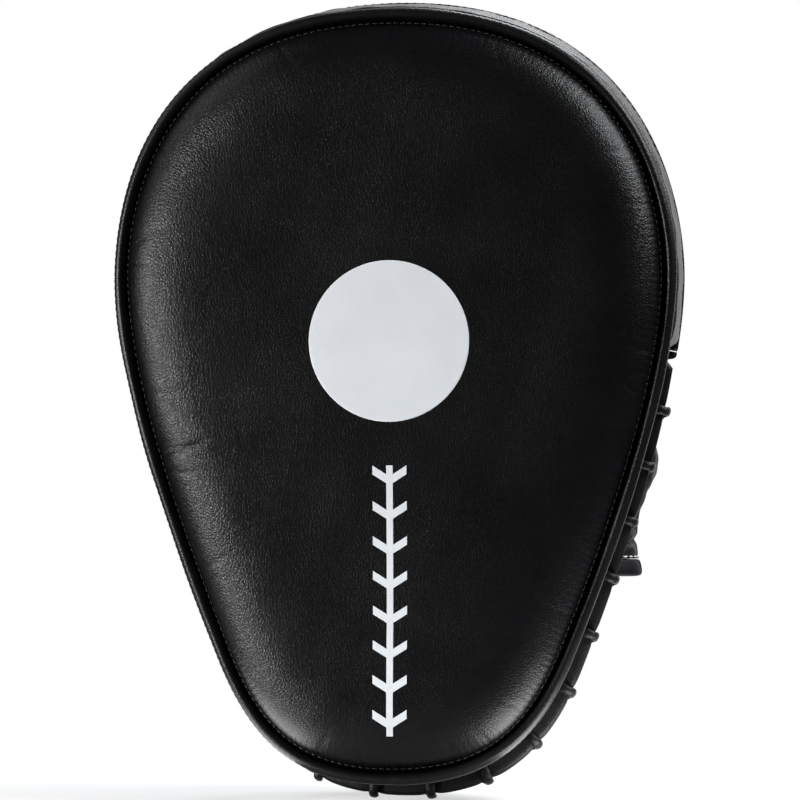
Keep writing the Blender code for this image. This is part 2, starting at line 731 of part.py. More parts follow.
band_outer = BAND_OFFSET + BAND_THICKNESS
band = arch_strip(180, 24, BAND_OFFSET, band_outer, STRAP_WIDTH, 24)
strap_piece("strap_band", band, REAR_LEATHER, strap_axis)
pad = arch_strip(172, 92, 0.4, BAND_OFFSET - GAP, STRAP_WIDTH - 3, 12, 1.4)
strap_piece("strap_cushion", pad, LINING, strap_axis)
hooks = arch_strip(80, 30, BAND_OFFSET - 1.2, BAND_OFFSET - GAP, STRAP_WIDTH - 6, 8, 0.2)
strap_piece("hook_patch", hooks, HOOK_TAPE, strap_axis)
pull = arch_strip(36, 14, band_outer + GAP, band_outer + 1.8, STRAP_WIDTH - 12, 5, 0.4)
strap_piece("strap_pull_tab", pull, GLOSS_LEATHER, strap_axis)
strap_piece("strap_tongue", arch_strip(2, 82, 0.0, 2.2, STRAP_WIDTH, 12), REAR_LEATHER)
strap_piece("loop_patch", arch_strip(26, 78, 2.5, 3.7, STRAP_WIDTH - 6, 8, 0.2), LINING)
root_height = ARCH_BASE_Y - BAND_THICKNESS / 2 - 1.6
root = rounded_block((8.0, root_height - 0.4, STRAP_WIDTH), 0.5, 1)
strap_piece("strap_root_tab", shifted(root, HINGE_X, 1.6 + (root_height - 0.4) / 2, 0.0), GLOSS_LEATHER)
foot = rounded_block((12.0, 4.1, STRAP_WIDTH), 0.5, 1)
strap_piece("tongue_root_tab", shifted(foot, ARCH_HALF_WIDTH + 1.1, 1.6 + 2.05, 0.0), GLOSS_LEATHER)
cushion = rounded_block((56.0, 7.0, 34.0), 2.8, 3)
strap_piece("wrist_cushion", shifted(cushion, 0.0, 1.6 + 3.5, 0.0), LINING)
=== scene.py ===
import math

import bmesh
import bpy
import numpy as np
from mathutils import Matrix, Vector


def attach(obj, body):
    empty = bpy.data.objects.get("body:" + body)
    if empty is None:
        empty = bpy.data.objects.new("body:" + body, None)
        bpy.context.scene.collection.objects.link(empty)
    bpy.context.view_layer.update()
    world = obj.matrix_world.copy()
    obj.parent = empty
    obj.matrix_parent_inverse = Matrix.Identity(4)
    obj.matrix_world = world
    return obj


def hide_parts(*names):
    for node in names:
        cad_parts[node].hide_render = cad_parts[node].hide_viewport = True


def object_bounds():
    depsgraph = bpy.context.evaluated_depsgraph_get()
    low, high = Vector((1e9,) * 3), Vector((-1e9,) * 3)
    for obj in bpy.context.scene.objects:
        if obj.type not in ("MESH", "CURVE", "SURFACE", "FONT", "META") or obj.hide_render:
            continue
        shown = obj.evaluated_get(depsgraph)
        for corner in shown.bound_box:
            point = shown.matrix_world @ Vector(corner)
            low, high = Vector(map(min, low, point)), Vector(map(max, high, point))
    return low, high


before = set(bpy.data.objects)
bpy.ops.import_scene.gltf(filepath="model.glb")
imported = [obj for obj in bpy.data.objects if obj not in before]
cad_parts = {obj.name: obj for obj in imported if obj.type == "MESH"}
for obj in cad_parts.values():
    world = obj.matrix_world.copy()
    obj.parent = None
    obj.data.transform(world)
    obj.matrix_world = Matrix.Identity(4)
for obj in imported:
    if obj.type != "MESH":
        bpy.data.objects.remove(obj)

CAD_BOX = [list(map(float, corner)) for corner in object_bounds()]
MM = 0.001
RNG = np.random.default_rng(7)

# ---------------------------------------------------------------- the pad's layout, in millimetres
TOP_Z, TOP_HANDLE = 112.3, 86.0
WIDE_X, WIDE_Z, WIDE_UP, WIDE_DOWN = 95.3, 23.2, 21.9, 42.6
HIP_X, HIP_Z, HIP_ANGLE, HIP_UP, HIP_DOWN = 59.8, -106.8, math.radians(-112), 22.4, 32.7
BOTTOM_Z, BOTTOM_HANDLE = -149.2, 30.5
PALM_Z = -42.0
FLAT_TOP, FLAT_BOTTOM = 30.0, -60.0
BEND_TOP, BEND_BOTTOM = 600.0, 470.0
NEUTRAL_Y = -28.0
OFFSET_LIMIT, INSET_MIDDLE, MIDDLE_Z = 28.0, 95.0, -8.0
FACE_Y = -40.0
HOOD_Z, HOOD_SCOOP, HOOD_INSET, HOOD_SPAN = -3.0, 10.0, -1.8, 98.2
HOOD_PROFILE = ((-1.8, 0.3), (-1.8, 4.0), (-0.6, 8.0), (2.0, 12.0), (6.5, 17.0), (14.0, 22.5),
                (26.0, 27.5), (42.0, 31.0), (60.0, 32.0), (78.0, 32.0))
FLANGE_THUMB_SIDE, FLANGE_FAR_SIDE = -1.5, 0.5
LACE_PITCH, LACE_HOLES, HOLE_DEPTH = 19.7, 9, 3.1
STITCH_PITCH = 2.4


def bezier(a, b, c, d, steps):
    t = np.linspace(0.0, 1.0, steps, endpoint=False)[:, None]
    a, b, c, d = (np.array(p, dtype=float) for p in (a, b, c, d))
    return (1 - t) ** 3 * a + 3 * (1 - t) ** 2 * t * b + 3 * (1 - t) * t ** 2 * c + t ** 3 * d


def edge_table():
    """Arc length, x, z and outward normal of the pad's edge."""
    hip = np.array((HIP_X, HIP_Z))
    way = np.array((math.cos(HIP_ANGLE), math.sin(HIP_ANGLE)))
    right = np.vstack((
        bezier((0, TOP_Z), (TOP_HANDLE, TOP_Z), (WIDE_X, WIDE_Z + WIDE_UP), (WIDE_X, WIDE_Z), 400),
        bezier((WIDE_X, WIDE_Z), (WIDE_X, WIDE_Z - WIDE_DOWN), hip - way * HIP_UP, hip, 400),
        bezier(hip, hip + way * HIP_DOWN, (BOTTOM_HANDLE, BOTTOM_Z), (0, BOTTOM_Z), 400),
        [(0, BOTTOM_Z)],
    ))
    length = np.concatenate(([0.0], np.cumsum(np.hypot(*np.diff(right, axis=0).T))))
    tangent = np.gradient(right, length, axis=0)
    normal = np.column_stack((-tangent[:, 1], tangent[:, 0]))
    normal /= np.hypot(normal[:, 0], normal[:, 1])[:, None]
    normal[0], normal[-1] = (0, 1), (0, -1)
    left = np.column_stack((-length, -right[:, 0], right[:, 1], -normal[:, 0], normal[:, 1]))
    return np.vstack((left[:0:-1], np.column_stack((length, right, normal))))


EDGE = edge_table()
HALF = EDGE[-1, 0]


def at_edge(s, inset):
    """Plan x and z at arc length s, moved inward by inset. Both may be arrays."""
    s, inset = np.broadcast_arrays(np.asarray(s, float), np.asarray(inset, float))
    s = (s + HALF) % (2 * HALF) - HALF
    x, z, nx, nz = (np.interp(s, EDGE[:, 0], EDGE[:, i]) for i in range(1, 5))
    near = np.minimum(inset, OFFSET_LIMIT)
    x, z = x - near * nx, z - near * nz
    k = np.clip((INSET_MIDDLE - inset) / (INSET_MIDDLE - OFFSET_LIMIT), 0.0, 1.0)
    deep = inset > OFFSET_LIMIT
    return np.where(deep, x * k, x), np.where(deep, MIDDLE_Z + (z - MIDDLE_Z) * k, z)


def edge_length_at(z):
    half = EDGE[EDGE[:, 0] >= 0]
    return float(np.interp(-z, -half[:, 2], half[:, 0]))


def bend(p):
    """Flat layout points in millimetres to places on the bent pad in metres."""
    p = np.asarray(p, float)
    x, y, z = p[..., 0], p[..., 1], p[..., 2]
    up = np.maximum(z - FLAT_TOP, 0) / BEND_TOP
    down = np.maximum(FLAT_BOTTOM - z, 0) / BEND_BOTTOM
    r_up, r_down = BEND_TOP + y - NEUTRAL_Y, BEND_BOTTOM + y - NEUTRAL_Y
    high, low = z > FLAT_TOP, z < FLAT_BOTTOM
    y2 = np.where(high, NEUTRAL_Y - BEND_TOP + r_up * np.cos(up), y)
    z2 = np.where(high, FLAT_TOP + r_up * np.sin(up), z)
    y2 = np.where(low, NEUTRAL_Y - BEND_BOTTOM + r_down * np.cos(down), y2)
    z2 = np.where(low, FLAT_BOTTOM - r_down * np.sin(down), z2)
    return np.stack((x, y2, z2 - PALM_Z), axis=-1) * MM


HOOD_S = edge_length_at(HOOD_Z)
LACED_S = edge_length_at(HOOD_Z - 5.0)


def flange_edge(s):
    """Inset of the laced flange's edge, wider on the thumb side."""
    s = (np.asarray(s, float) + HALF) % (2 * HALF) - HALF
    middle = (FLANGE_THUMB_SIDE + FLANGE_FAR_SIDE) / 2
    lean = np.minimum((HALF - np.abs(s)) / 60.0, 1.0)
    return middle + np.sign(s) * lean * (FLANGE_THUMB_SIDE - middle)


def flange_inset(s, tucked):
    s = (np.asarray(s, float) + HALF) % (2 * HALF) - HALF
    share = np.clip((np.abs(s) - HOOD_S - 0.8) / (LACED_S - HOOD_S), 0, 1)
    return tucked + (flange_edge(s) - tucked) * share


# ---------------------------------------------------------------- smooth irregularity
WAVES = 9           # plane waves in each smooth irregular function


def waves(seed, scale):
    """A smooth irregular function of two coordinates, about -1 to 1, with features of the given size."""
    rng = np.random.default_rng(seed)
    angle = rng.uniform(0, 2 * math.pi, WAVES)
    rate = 2 * math.pi / (scale * rng.uniform(0.7, 1.6, WAVES))
    phase = rng.uniform(0, 2 * math.pi, WAVES)

    def value(u, v):
        total = np.zeros(np.broadcast(u, v).shape)
        for a, r, p in zip(angle, rate, phase):
            total = total + np.sin((u * math.cos(a) + v * math.sin(a)) * r + p)
        return total / math.sqrt(WAVES) / 1.4
    return value


BROAD = waves(11, 70.0)
MEDIUM = waves(12, 26.0)
SMALL = waves(13, 9.0)


def face_relief(x, z):
    """How far the padded face stands out of its smooth shape, in millimetres."""
    calm = 0.35 + 0.65 * np.clip(np.hypot(x, z) / 60.0, 0, 1)
    return calm * (0.28 * BROAD(x, z) + 0.10 * MEDIUM(x, z))


def smooth_profile(points, count):
    """An even, rounded run of points through a coarse profile."""
    p = np.array(points, float)
    for _ in range(3):
        q = 0.75 * p[:-1] + 0.25 * p[1:]
        r = 0.25 * p[:-1] + 0.75 * p[1:]
        mid = np.empty((2 * len(q), 2))
        mid[0::2], mid[1::2] = q, r
        p = np.vstack((p[:1], mid, p[-1:]))
    length = np.concatenate(([0], np.cumsum(np.hypot(*np.diff(p, axis=0).T))))
    even = np.linspace(0, length[-1], count)
    return np.column_stack([np.interp(even, length, p[:, i]) for i in (0, 1)])


def offset_profile(points, distance):
    """An open profile moved by distance to the right of its direction."""
    p = np.array(points, float)
    t = np.gradient(p, axis=0)
    t /= np.hypot(t[:, 0], t[:, 1])[:, None]
    return p + distance * np.column_stack((t[:, 1], -t[:, 0]))


# ---------------------------------------------------------------- mesh making
def object_from(name, verts, faces, look, body="pad"):
    mesh = bpy.data.meshes.new(name)
    mesh.from_pydata(np.asarray(verts, float).tolist(), [], faces)
    work = bmesh.new()
    work.from_mesh(mesh)
    bmesh.ops.remove_doubles(work, verts=work.verts, dist=2e-6)
    bmesh.ops.recalc_face_normals(work, faces=work.faces)
    work.to_mesh(mesh)
    work.free()
    for face in mesh.polygons:
        face.use_smooth = True
    mesh.materials.append(look)
    piece = bpy.data.objects.new(name, mesh)
    bpy.context.scene.collection.objects.link(piece)
    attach(piece, body)
    return piece


def skin(points, ring=False, hubs=True):
    """Vertices and faces of closed sections (rows, columns, 3): a ring, or a run whose ends close to hubs."""
    rows, columns = points.shape[:2]
    verts = points.reshape(-1, 3).tolist()
    faces = []
    for i in range(rows if ring else rows - 1):
        a, b = i * columns, ((i + 1) % rows) * columns
        for j in range(columns):
            k = (j + 1) % columns
            faces.append((a + j, a + k, b + k, b + j))
    if hubs and not ring:
        for base, row in ((0, points[0]), ((rows - 1) * columns, points[-1])):
            verts.append(row.mean(axis=0).tolist())
            hub = len(verts) - 1
            faces.extend((base + j, base + (j + 1) % columns, hub) for j in range(columns))
    return verts, faces


def sweep(name, path, normals, half_width, half_height, look, sides=12):
    """A strip of oval section along a path in metres; half sizes in millimetres, numbers or arrays."""
    path = np.asarray(path, float)
    tangent = np.gradient(path, axis=0)
    tangent /= np.linalg.norm(tangent, axis=1)[:, None]
    normals = normals - (normals * tangent).sum(1)[:, None] * tangent
    normals /= np.linalg.norm(normals, axis=1)[:, None]
    side = np.cross(tangent, normals)
    turn = np.linspace(0, 2 * math.pi, sides, endpoint=False)
    w = np.broadcast_to(half_width, len(path))[:, None, None] * MM
    h = np.broadcast_to(half_height, len(path))[:, None, None] * MM
    across, outward = np.cos(turn)[:, None], np.sin(turn)[:, None]
    grid = path[:, None] + side[:, None] * w * across + normals[:, None] * h * outward
    verts, faces = skin(grid)
    return object_from(name, verts, faces, look)


CAPSULE = [(-1.0, 0.0), (-0.86, 0.62), (-0.45, 0.95), (0.0, 1.0), (0.45, 0.95), (0.86, 0.62), (1.0, 0.0)]


def stitches(name, middle, along, outward, length, radius, look, body="pad"):
    """A row of thread stitches: middles in metres, with directions along the row and out of the surface."""
    middle, along, outward = (np.asarray(a, float) for a in (middle, along, outward))
    along = along / np.linalg.norm(along, axis=1)[:, None]
    outward = outward - (outward * along).sum(1)[:, None] * along
    outward /= np.linalg.norm(outward, axis=1)[:, None]
    side = np.cross(along, outward)
    verts, faces = [], []
    sides = 6
    turn = np.linspace(0, 2 * math.pi, sides, endpoint=False)
    for m, a, o, b in zip(middle, along, outward, side):
        base = len(verts)
        verts.append(m - a * length / 2 * MM - o * radius * 0.5 * MM)
        for t, r in CAPSULE[1:-1]:
            arch = (1 - t * t) * radius * 0.7
            centre = m + a * t * length / 2 * MM + o * arch * MM
            for q in turn:
                verts.append(centre + (b * math.cos(q) + o * math.sin(q)) * r * radius * MM)
        verts.append(m + a * length / 2 * MM - o * radius * 0.5 * MM)
        last = len(verts) - 1
        for j in range(sides):
            k = (j + 1) % sides
            faces.append((base, base + 1 + k, base + 1 + j))
            for i in range(len(CAPSULE) - 3):
                p = base + 1 + i * sides
                faces.append((p + j, p + k, p + sides + k, p + sides + j))
            p = base + 1 + (len(CAPSULE) - 3) * sides
            faces.append((p + j, p + k, last))
    return object_from(name, verts, faces, look, body)


def row_on(points, normals, pitch):
    """Evenly spaced places along a line of points, with directions along it and out of the surface."""
    points = np.asarray(points, float)
    length = np.concatenate(([0], np.cumsum(np.linalg.norm(np.diff(points, axis=0), axis=1)))) / MM
    count = max(1, int(round(length[-1] / pitch)))
    places = (np.arange(count) + 0.5) * length[-1] / count
    at = np.column_stack([np.interp(places, length, points[:, i]) for i in range(3)])
    tangent = np.gradient(points, axis=0)
    along = np.column_stack([np.interp(places, length, tangent[:, i]) for i in range(3)])
    out = np.column_stack([np.interp(places, length, np.asarray(normals)[:, i]) for i in range(3)])
    return at, along, out


def sewn_row(name, here, there, pitch, length, radius, look, body="pad"):
    """Stitches along a line of points, each facing its own point of a second line."""
    at, along, out = row_on(here, there - here, pitch)
    return stitches(name, at, along, out, length, radius, look, body)


def edge_row(name, s, inset, y, inset_out, y_out, pitch, length, radius, look):
    """Stitches along the pad's edge line, facing the direction of the second inset and depth."""
    x, z = at_edge(s, inset)
    here = bend(np.stack((x, np.broadcast_to(y, x.shape), z), axis=-1))
    x, z = at_edge(s, inset_out)
    there = bend(np.stack((x, np.broadcast_to(y_out, x.shape), z), axis=-1))
    return sewn_row(name, here, there, pitch, length, radius, look)


# ---------------------------------------------------------------- materials
def nodes_of(name):
    made = bpy.data.materials.new(name)
    made.use_nodes = True
    tree = made.node_tree
    return made, tree, tree.nodes["Principled BSDF"]


def node(tree, kind, **settings):
    made = tree.nodes.new(kind)
    for key, value in settings.items():
        if key in made.inputs:
            made.inputs[key].default_value = value
        else:
            setattr(made, key, value)
    return made


def ramp(tree, source, low, high, colour_low, colour_high):
    made = tree.nodes.new("ShaderNodeMapRange")
    made.data_type = "FLOAT_VECTOR"
    tree.links.new(source, made.inputs[6])
    for axis in range(3):
        made.inputs[7].default_value[axis] = low
        made.inputs[8].default_value[axis] = high
        made.inputs[9].default_value[axis] = colour_low[axis]
        made.inputs[10].default_value[axis] = colour_high[axis]
    return made.outputs[1]


def remap(tree, source, low, high, to_low, to_high):
    made = tree.nodes.new("ShaderNodeMapRange")
    tree.links.new(source, made.inputs["Value"])
    made.inputs["From Min"].default_value = low
    made.inputs["From Max"].default_value = high
    made.inputs["To Min"].default_value = to_low
    made.inputs["To Max"].default_value = to_high
    return made.outputs["Result"]


def maths(tree, operation, a, b):
    made = tree.nodes.new("ShaderNodeMath")
    made.operation = operation
    for i, value in enumerate((a, b)):
        if isinstance(value, (int, float)):
            made.inputs[i].default_value = value
        else:
            tree.links.new(value, made.inputs[i])
    return made.outputs[0]


def weighted(tree, a, share_a, b, share_b):
    """A weighted sum of two node outputs."""
    return maths(tree, "ADD", maths(tree, "MULTIPLY", a, share_a), maths(tree, "MULTIPLY", b, share_b))


def bump_map(tree, shader, height, strength, distance):
    """Feeds a height to the shader's normal; distance is in metres."""
    bumped = node(tree, "ShaderNodeBump", Strength=strength, Distance=distance)
    tree.links.new(height, bumped.inputs["Height"])
    tree.links.new(bumped.outputs["Normal"], shader.inputs["Normal"])


def coat(tree, shader, tone, span, dark, light, polish, rough_low, rough_high):
    """Base colour from a tone over its span, and roughness from a second node output."""
    tree.links.new(ramp(tree, tone, *span, dark, light), shader.inputs["Base Color"])
    tree.links.new(remap(tree, polish, 0.3, 0.7, rough_low, rough_high), shader.inputs["Roughness"])


def object_coords(tree):
    return tree.nodes.new("ShaderNodeTexCoord").outputs["Object"]


def noise(tree, coords, scale, detail=3.0, rough=0.55):
    made = node(tree, "ShaderNodeTexNoise", Scale=scale, Detail=detail, Roughness=rough)
    tree.links.new(coords, made.inputs["Vector"])
    return made.outputs["Fac"]


def leather(name, dark, light, rough_low, rough_high, grain=900.0, depth=0.22, specular=0.5, patchy=1.2):
    """Fine-grained leather: irregular cells for the grain, pores, soft mottling and uneven polish."""
    made, tree, shader = nodes_of(name)
    coords = object_coords(tree)
    warp = node(tree, "ShaderNodeTexNoise", Scale=grain * 0.6, Detail=2.0)
    tree.links.new(coords, warp.inputs["Vector"])
    shift = node(tree, "ShaderNodeVectorMath", operation="MULTIPLY_ADD")
    tree.links.new(warp.outputs["Color"], shift.inputs[0])
    shift.inputs[1].default_value = (0.0009, 0.0009, 0.0009)
    tree.links.new(coords, shift.inputs[2])
    cells = node(tree, "ShaderNodeTexVoronoi", feature="DISTANCE_TO_EDGE", Scale=grain, Randomness=1.0)
    tree.links.new(shift.outputs[0], cells.inputs["Vector"])
    plates = remap(tree, cells.outputs["Distance"], 0.0, 0.28, 0.0, 1.0)
    fine = noise(tree, coords, grain * 3.2, 2.0)
    broad = noise(tree, coords, 28.0, 4.0, 0.6)
    patch = noise(tree, coords, 95.0, 3.0, 0.6)
    height = weighted(tree, plates, 0.7, fine, 0.5)
    height = maths(tree, "ADD", height, maths(tree, "MULTIPLY", patch, patchy))
    bump_map(tree, shader, height, depth, 0.0004)
    tone = weighted(tree, broad, 0.6, plates, 0.4)
    polish = weighted(tree, broad, 0.65, fine, 0.35)
    coat(tree, shader, tone, (0.25, 0.85), dark, light, polish, rough_low, rough_high)
    shader.inputs["Specular IOR Level"].default_value = specular
    return made


def cloth(name, dark, light, pitch, depth=0.5, fuzz=0.25):
    """Woven or knitted fabric: two crossed sets of threads, with fuzz and uneven dye."""
    made, tree, shader = nodes_of(name)
    coords = object_coords(tree)
    threads = []
    for direction in ("X", "Z"):
        wave = node(tree, "ShaderNodeTexWave", Scale=0.32 / pitch, Distortion=0.6, Detail=1.0)
        wave.bands_direction = direction
        wave.inputs["Detail Scale"].default_value = 3.0
        tree.links.new(coords, wave.inputs["Vector"])
        threads.append(wave.outputs["Fac"])
    weave = maths(tree, "MULTIPLY", threads[0], threads[1])
    fuzzy = noise(tree, coords, 2600.0, 3.0)
    broad = noise(tree, coords, 40.0, 3.0)
    height = maths(tree, "ADD", weave, maths(tree, "MULTIPLY", fuzzy, 0.6))
    bump_map(tree, shader, height, depth, 0.0003)
    tone = weighted(tree, broad, 0.5, weave, 0.5)
    coat(tree, shader, tone, (0.1, 0.8), dark, light, fuzzy, 0.82, 0.98)
    shader.inputs["Sheen Weight"].default_value = fuzz
    shader.inputs["Sheen Roughness"].default_value = 0.6
    shader.inputs["Specular IOR Level"].default_value = 0.25
    return made


def foam(name, dark, light):
    """Closed-cell foam with open pores on its cut faces."""
    made, tree, shader = nodes_of(name)
    coords = object_coords(tree)
    pores = node(tree, "ShaderNodeTexVoronoi", Scale=700.0)
    tree.links.new(coords, pores.inputs["Vector"])
    broad = noise(tree, coords, 60.0)
    bump_map(tree, shader, pores.outputs["Distance"], 0.6, 0.0005)
    tree.links.new(ramp(tree, maths(tree, "ADD", broad, pores.outputs["Distance"]), 0.4, 1.2, dark, light),
                   shader.inputs["Base Color"])
    tree.links.new(remap(tree, broad, 0.3, 0.7, 0.82, 0.95), shader.inputs["Roughness"])
    return made


def print_ink(name):
    """Pale ink over the leather: the grain shows faintly through it."""
    made, tree, shader = nodes_of(name)
    coords = object_coords(tree)
    cells = node(tree, "ShaderNodeTexVoronoi", feature="DISTANCE_TO_EDGE", Scale=900.0)
    tree.links.new(coords, cells.inputs["Vector"])
    fine = noise(tree, coords, 2400.0, 2.0)
    broad = noise(tree, coords, 45.0, 3.0)
    height = maths(tree, "ADD", remap(tree, cells.outputs["Distance"], 0.0, 0.3, 0.0, 1.0), fine)
    bump_map(tree, shader, height, 0.10, 0.0003)
    tone = weighted(tree, broad, 0.7, fine, 0.3)
    coat(tree, shader, tone, (0.3, 0.7), (0.81, 0.84, 0.87), (0.88, 0.91, 0.94), broad, 0.48, 0.6)
    shader.inputs["Specular IOR Level"].default_value = 0.4
    return made


def thread(name, dark, light):
    """Waxed sewing thread with its twist."""
    made, tree, shader = nodes_of(name)
    coords = object_coords(tree)
    twist = node(tree, "ShaderNodeTexWave", Scale=1100.0, Distortion=2.0)
    twist.bands_direction = "DIAGONAL"
    tree.links.new(coords, twist.inputs["Vector"])
    bump_map(tree, shader, twist.outputs["Fac"], 0.5, 0.0001)
    broad = noise(tree, coords, 300.0)
    coat(tree, shader, broad, (0.3, 0.7), dark, light, broad, 0.45, 0.65)
    return made


FACE_LEATHER = leather("face_leather", (0.0019, 0.0020, 0.0024), (0.0040, 0.0042, 0.0050), 0.29, 0.39,
                       grain=1000.0, depth=0.24, specular=0.30, patchy=0.3)
LIP_LEATHER = leather("lip_leather", (0.004, 0.004, 0.0042), (0.009, 0.009, 0.0095), 0.28, 0.40, depth=0.12,
                      specular=0.30)
WALL_LEATHER = leather("wall_leather", (0.005, 0.005, 0.0056), (0.010, 0.010, 0.011), 0.36, 0.50,
                       specular=0.24)
REAR_LEATHER = leather("rear_leather", (0.008, 0.008, 0.009), (0.017, 0.017, 0.018), 0.44, 0.60)
HOOD_LEATHER = leather("hood_leather", (0.010, 0.010, 0.011), (0.020, 0.020, 0.022), 0.36, 0.50)
LACE_LEATHER = leather("lace_leather", (0.006, 0.006, 0.006), (0.013, 0.012, 0.012), 0.30, 0.46,
                       grain=1400.0, specular=0.22)
BINDING_LEATHER = leather("binding_leather", (0.006, 0.006, 0.007), (0.007, 0.007, 0.008), 0.48, 0.62,
                          specular=0.1)
PALM_FABRIC = cloth("palm_fabric", (0.018, 0.018, 0.020), (0.040, 0.040, 0.043), pitch=0.0011, fuzz=0.35)
POCKET_FABRIC = cloth("pocket_fabric", (0.020, 0.020, 0.022), (0.046, 0.046, 0.050), pitch=0.0008)
CUSHION_FABRIC = cloth("cushion_fabric", (0.022, 0.022, 0.024), (0.048, 0.048, 0.052), pitch=0.0014)
HOOK_FABRIC = cloth("hook_tape", (0.012, 0.012, 0.013), (0.026, 0.026, 0.028), pitch=0.0016, depth=0.8,
                    fuzz=0.1)
LOOP_FABRIC = cloth("loop_tape", (0.016, 0.016, 0.018), (0.040, 0.040, 0.044), pitch=0.0020, depth=1.0,
                    fuzz=0.6)
SOFT_FOAM = foam("soft_foam", (0.13, 0.13, 0.14), (0.22, 0.22, 0.23))
DENSE_FOAM = foam("dense_foam", (0.05, 0.05, 0.055), (0.11, 0.11, 0.12))
WHITE_INK = print_ink("white_ink")
BLACK_THREAD = thread("black_thread", (0.004, 0.004, 0.005), (0.012, 0.012, 0.013))
WHITE_THREAD = thread("white_thread", (0.55, 0.56, 0.57), (0.75, 0.76, 0.77))


# ---------------------------------------------------------------- shared shapes
def puffed(grid, amount, ring=False):
    """A grid in metres pushed outward by amount, in millimetres, along its own normals."""
    def step(axis, wrap):
        if wrap:
            return np.roll(grid, -1, axis) - np.roll(grid, 1, axis)
        return np.gradient(grid, axis=axis)
    normal = np.cross(step(0, ring), step(1, True))
    if (grid * normal).sum() < (grid.mean(axis=(0, 1)) * normal).sum():
        normal = -normal
    size = np.linalg.norm(normal, axis=-1, keepdims=True)
    return grid + normal / np.maximum(size, 1e-12) * np.asarray(amount, float)[..., None] * MM


def grid_piece(name, grid, look, body="pad", ring=False):
    """A closed piece from sections: a ring of them, or a run with its two ends closed."""
    verts, faces = skin(grid, ring)
    return object_from(name, verts, faces, look, body)


def on_layout(s, inset, y):
    """Places in metres from arc length, inset and depth."""
    x, z = at_edge(s, inset)
    return bend(np.stack((x, np.broadcast_to(np.asarray(y, float), x.shape), z), axis=-1))


def bump(distance, width):
    return np.exp(-(distance / width) ** 2)


def closed_profile(points, count):
    """An even closed run of points round a coarse section, with softened corners."""
    p = np.array(points, float)
    for _ in range(2):
        q = np.roll(p, -1, axis=0)
        p = np.stack((0.8 * p + 0.2 * q, 0.2 * p + 0.8 * q), axis=1).reshape(-1, 2)
    p = np.vstack((p, p[:1]))
    length = np.concatenate(([0], np.cumsum(np.hypot(*np.diff(p, axis=0).T))))
    even = np.linspace(0, length[-1], count, endpoint=False)
    return np.column_stack([np.interp(even, length, p[:, i]) for i in (0, 1)])


STITCH_COUNT = int(round(2 * HALF / STITCH_PITCH))
PUCKER = 2 * math.pi * STITCH_COUNT / (2 * HALF)
RIM_S = np.linspace(-HALF, HALF, 4 * STITCH_COUNT, endpoint=False)

# ---------------------------------------------------------------- striking face
FACE_PROFILE = ((3.0, -26.2), (3.4, -28.8), (4.5, -31.4), (6.6, -34.0), (9.9, -36.4), (14.4, -38.2),
                (20.2, -39.4), (27.2, -39.9), (37.0, FACE_Y), (47.0, FACE_Y))
outside = smooth_profile(FACE_PROFILE, 34)
inside = offset_profile(smooth_profile(FACE_PROFILE[:8], 9), -1.3)
WRINKLES = [(RNG.uniform(-HALF, HALF), RNG.uniform(0.7, 1.5), RNG.uniform(-0.26, -0.10),
             RNG.uniform(11, 19), RNG.uniform(-0.6, 0.6)) for _ in range(34)]
LEFT_CREASE = -edge_length_at(-41)
WRINKLES += [(LEFT_CREASE, 1.0, -0.40, 24, 0.1), (LEFT_CREASE + 4.0, 0.9, -0.28, 20, -0.2),
             (-edge_length_at(33), 0.9, -0.22, 19, 0.9), (-edge_length_at(37), 0.8, -0.20, 16, 0.6)]


def face_swell(s, inset):
    """How far the face stands out of its plain form: dents, puckers at the seam, and small wrinkles."""
    x, z = at_edge(s, inset)
    out = face_relief(x, z)
    out = out + 0.08 * np.cos(PUCKER * s) * np.exp(-np.maximum(inset - 4.0, 0) / 2.2)
    out = out - 0.35 * bump(inset - 4.1, 0.7)
    for at, width, depth, reach, lean in WRINKLES:
        across = (s - at - lean * (inset - 4.6) + HALF) % (2 * HALF) - HALF
        out = out + 0.6 * depth * bump(across, width) * np.clip((reach - inset) / 5.0, 0, 1)
    return out


inset_rows = np.concatenate(([88, 68, 48, 34], inside[::-1, 0], outside[:, 0], np.arange(51, 93, 4)))
y_rows = np.concatenate(([FACE_Y + 1.3] * 4, inside[::-1, 1], outside[:, 1], [FACE_Y] * 11))
swell_rows = np.arange(len(inset_rows)) >= 4 + len(inside) + 1
S, I = np.meshgrid(RIM_S, inset_rows)
face_grid = on_layout(S, I, y_rows[:, None])
face_grid = puffed(face_grid, face_swell(S, I) * swell_rows[:, None])
face = grid_piece("face_leather", face_grid, FACE_LEATHER)
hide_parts("striking_face")


def face_front(x, z, lift):
    """A place on the face over plan x and z, lifted off the leather."""
    near = np.maximum(z - EDGE[0, 2], 0.0)
    y = np.interp(near, outside[:, 0], outside[:, 1])
    return bend(np.stack((x, y - face_relief(x, z) - lift, z), axis=-1))


# Printed target and mark
PRINT_LIFT, PRINT_SINK = 0.24, -0.3     # the ink's top and its hidden underside, off the leather
radius = np.concatenate((np.linspace(0.5, 26.4, 22), [26.9, 27.2, 27.3, 27.25]))
lift = np.concatenate((np.full(22, PRINT_LIFT), [0.23, 0.19, 0.08, PRINT_SINK]))
turn = np.linspace(0, 2 * math.pi, 160, endpoint=False)
R, T = np.meshgrid(radius, turn, indexing="ij")
front = face_front(R * np.cos(T), R * np.sin(T), lift[:, None])
back = face_front(np.outer([20.0, 1.0], np.cos(turn)), np.outer([20.0, 1.0], np.sin(turn)), PRINT_SINK)
disc = grid_piece("printed_target", np.concatenate((front, back)), WHITE_INK)
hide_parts("target_disc")

MARK_TOP, MARK_PITCH, MARK_ROWS, MARK_REACH, MARK_SPINE = -42.0, 12.0, 8, 5.8, 1.1
verts, faces = [], []


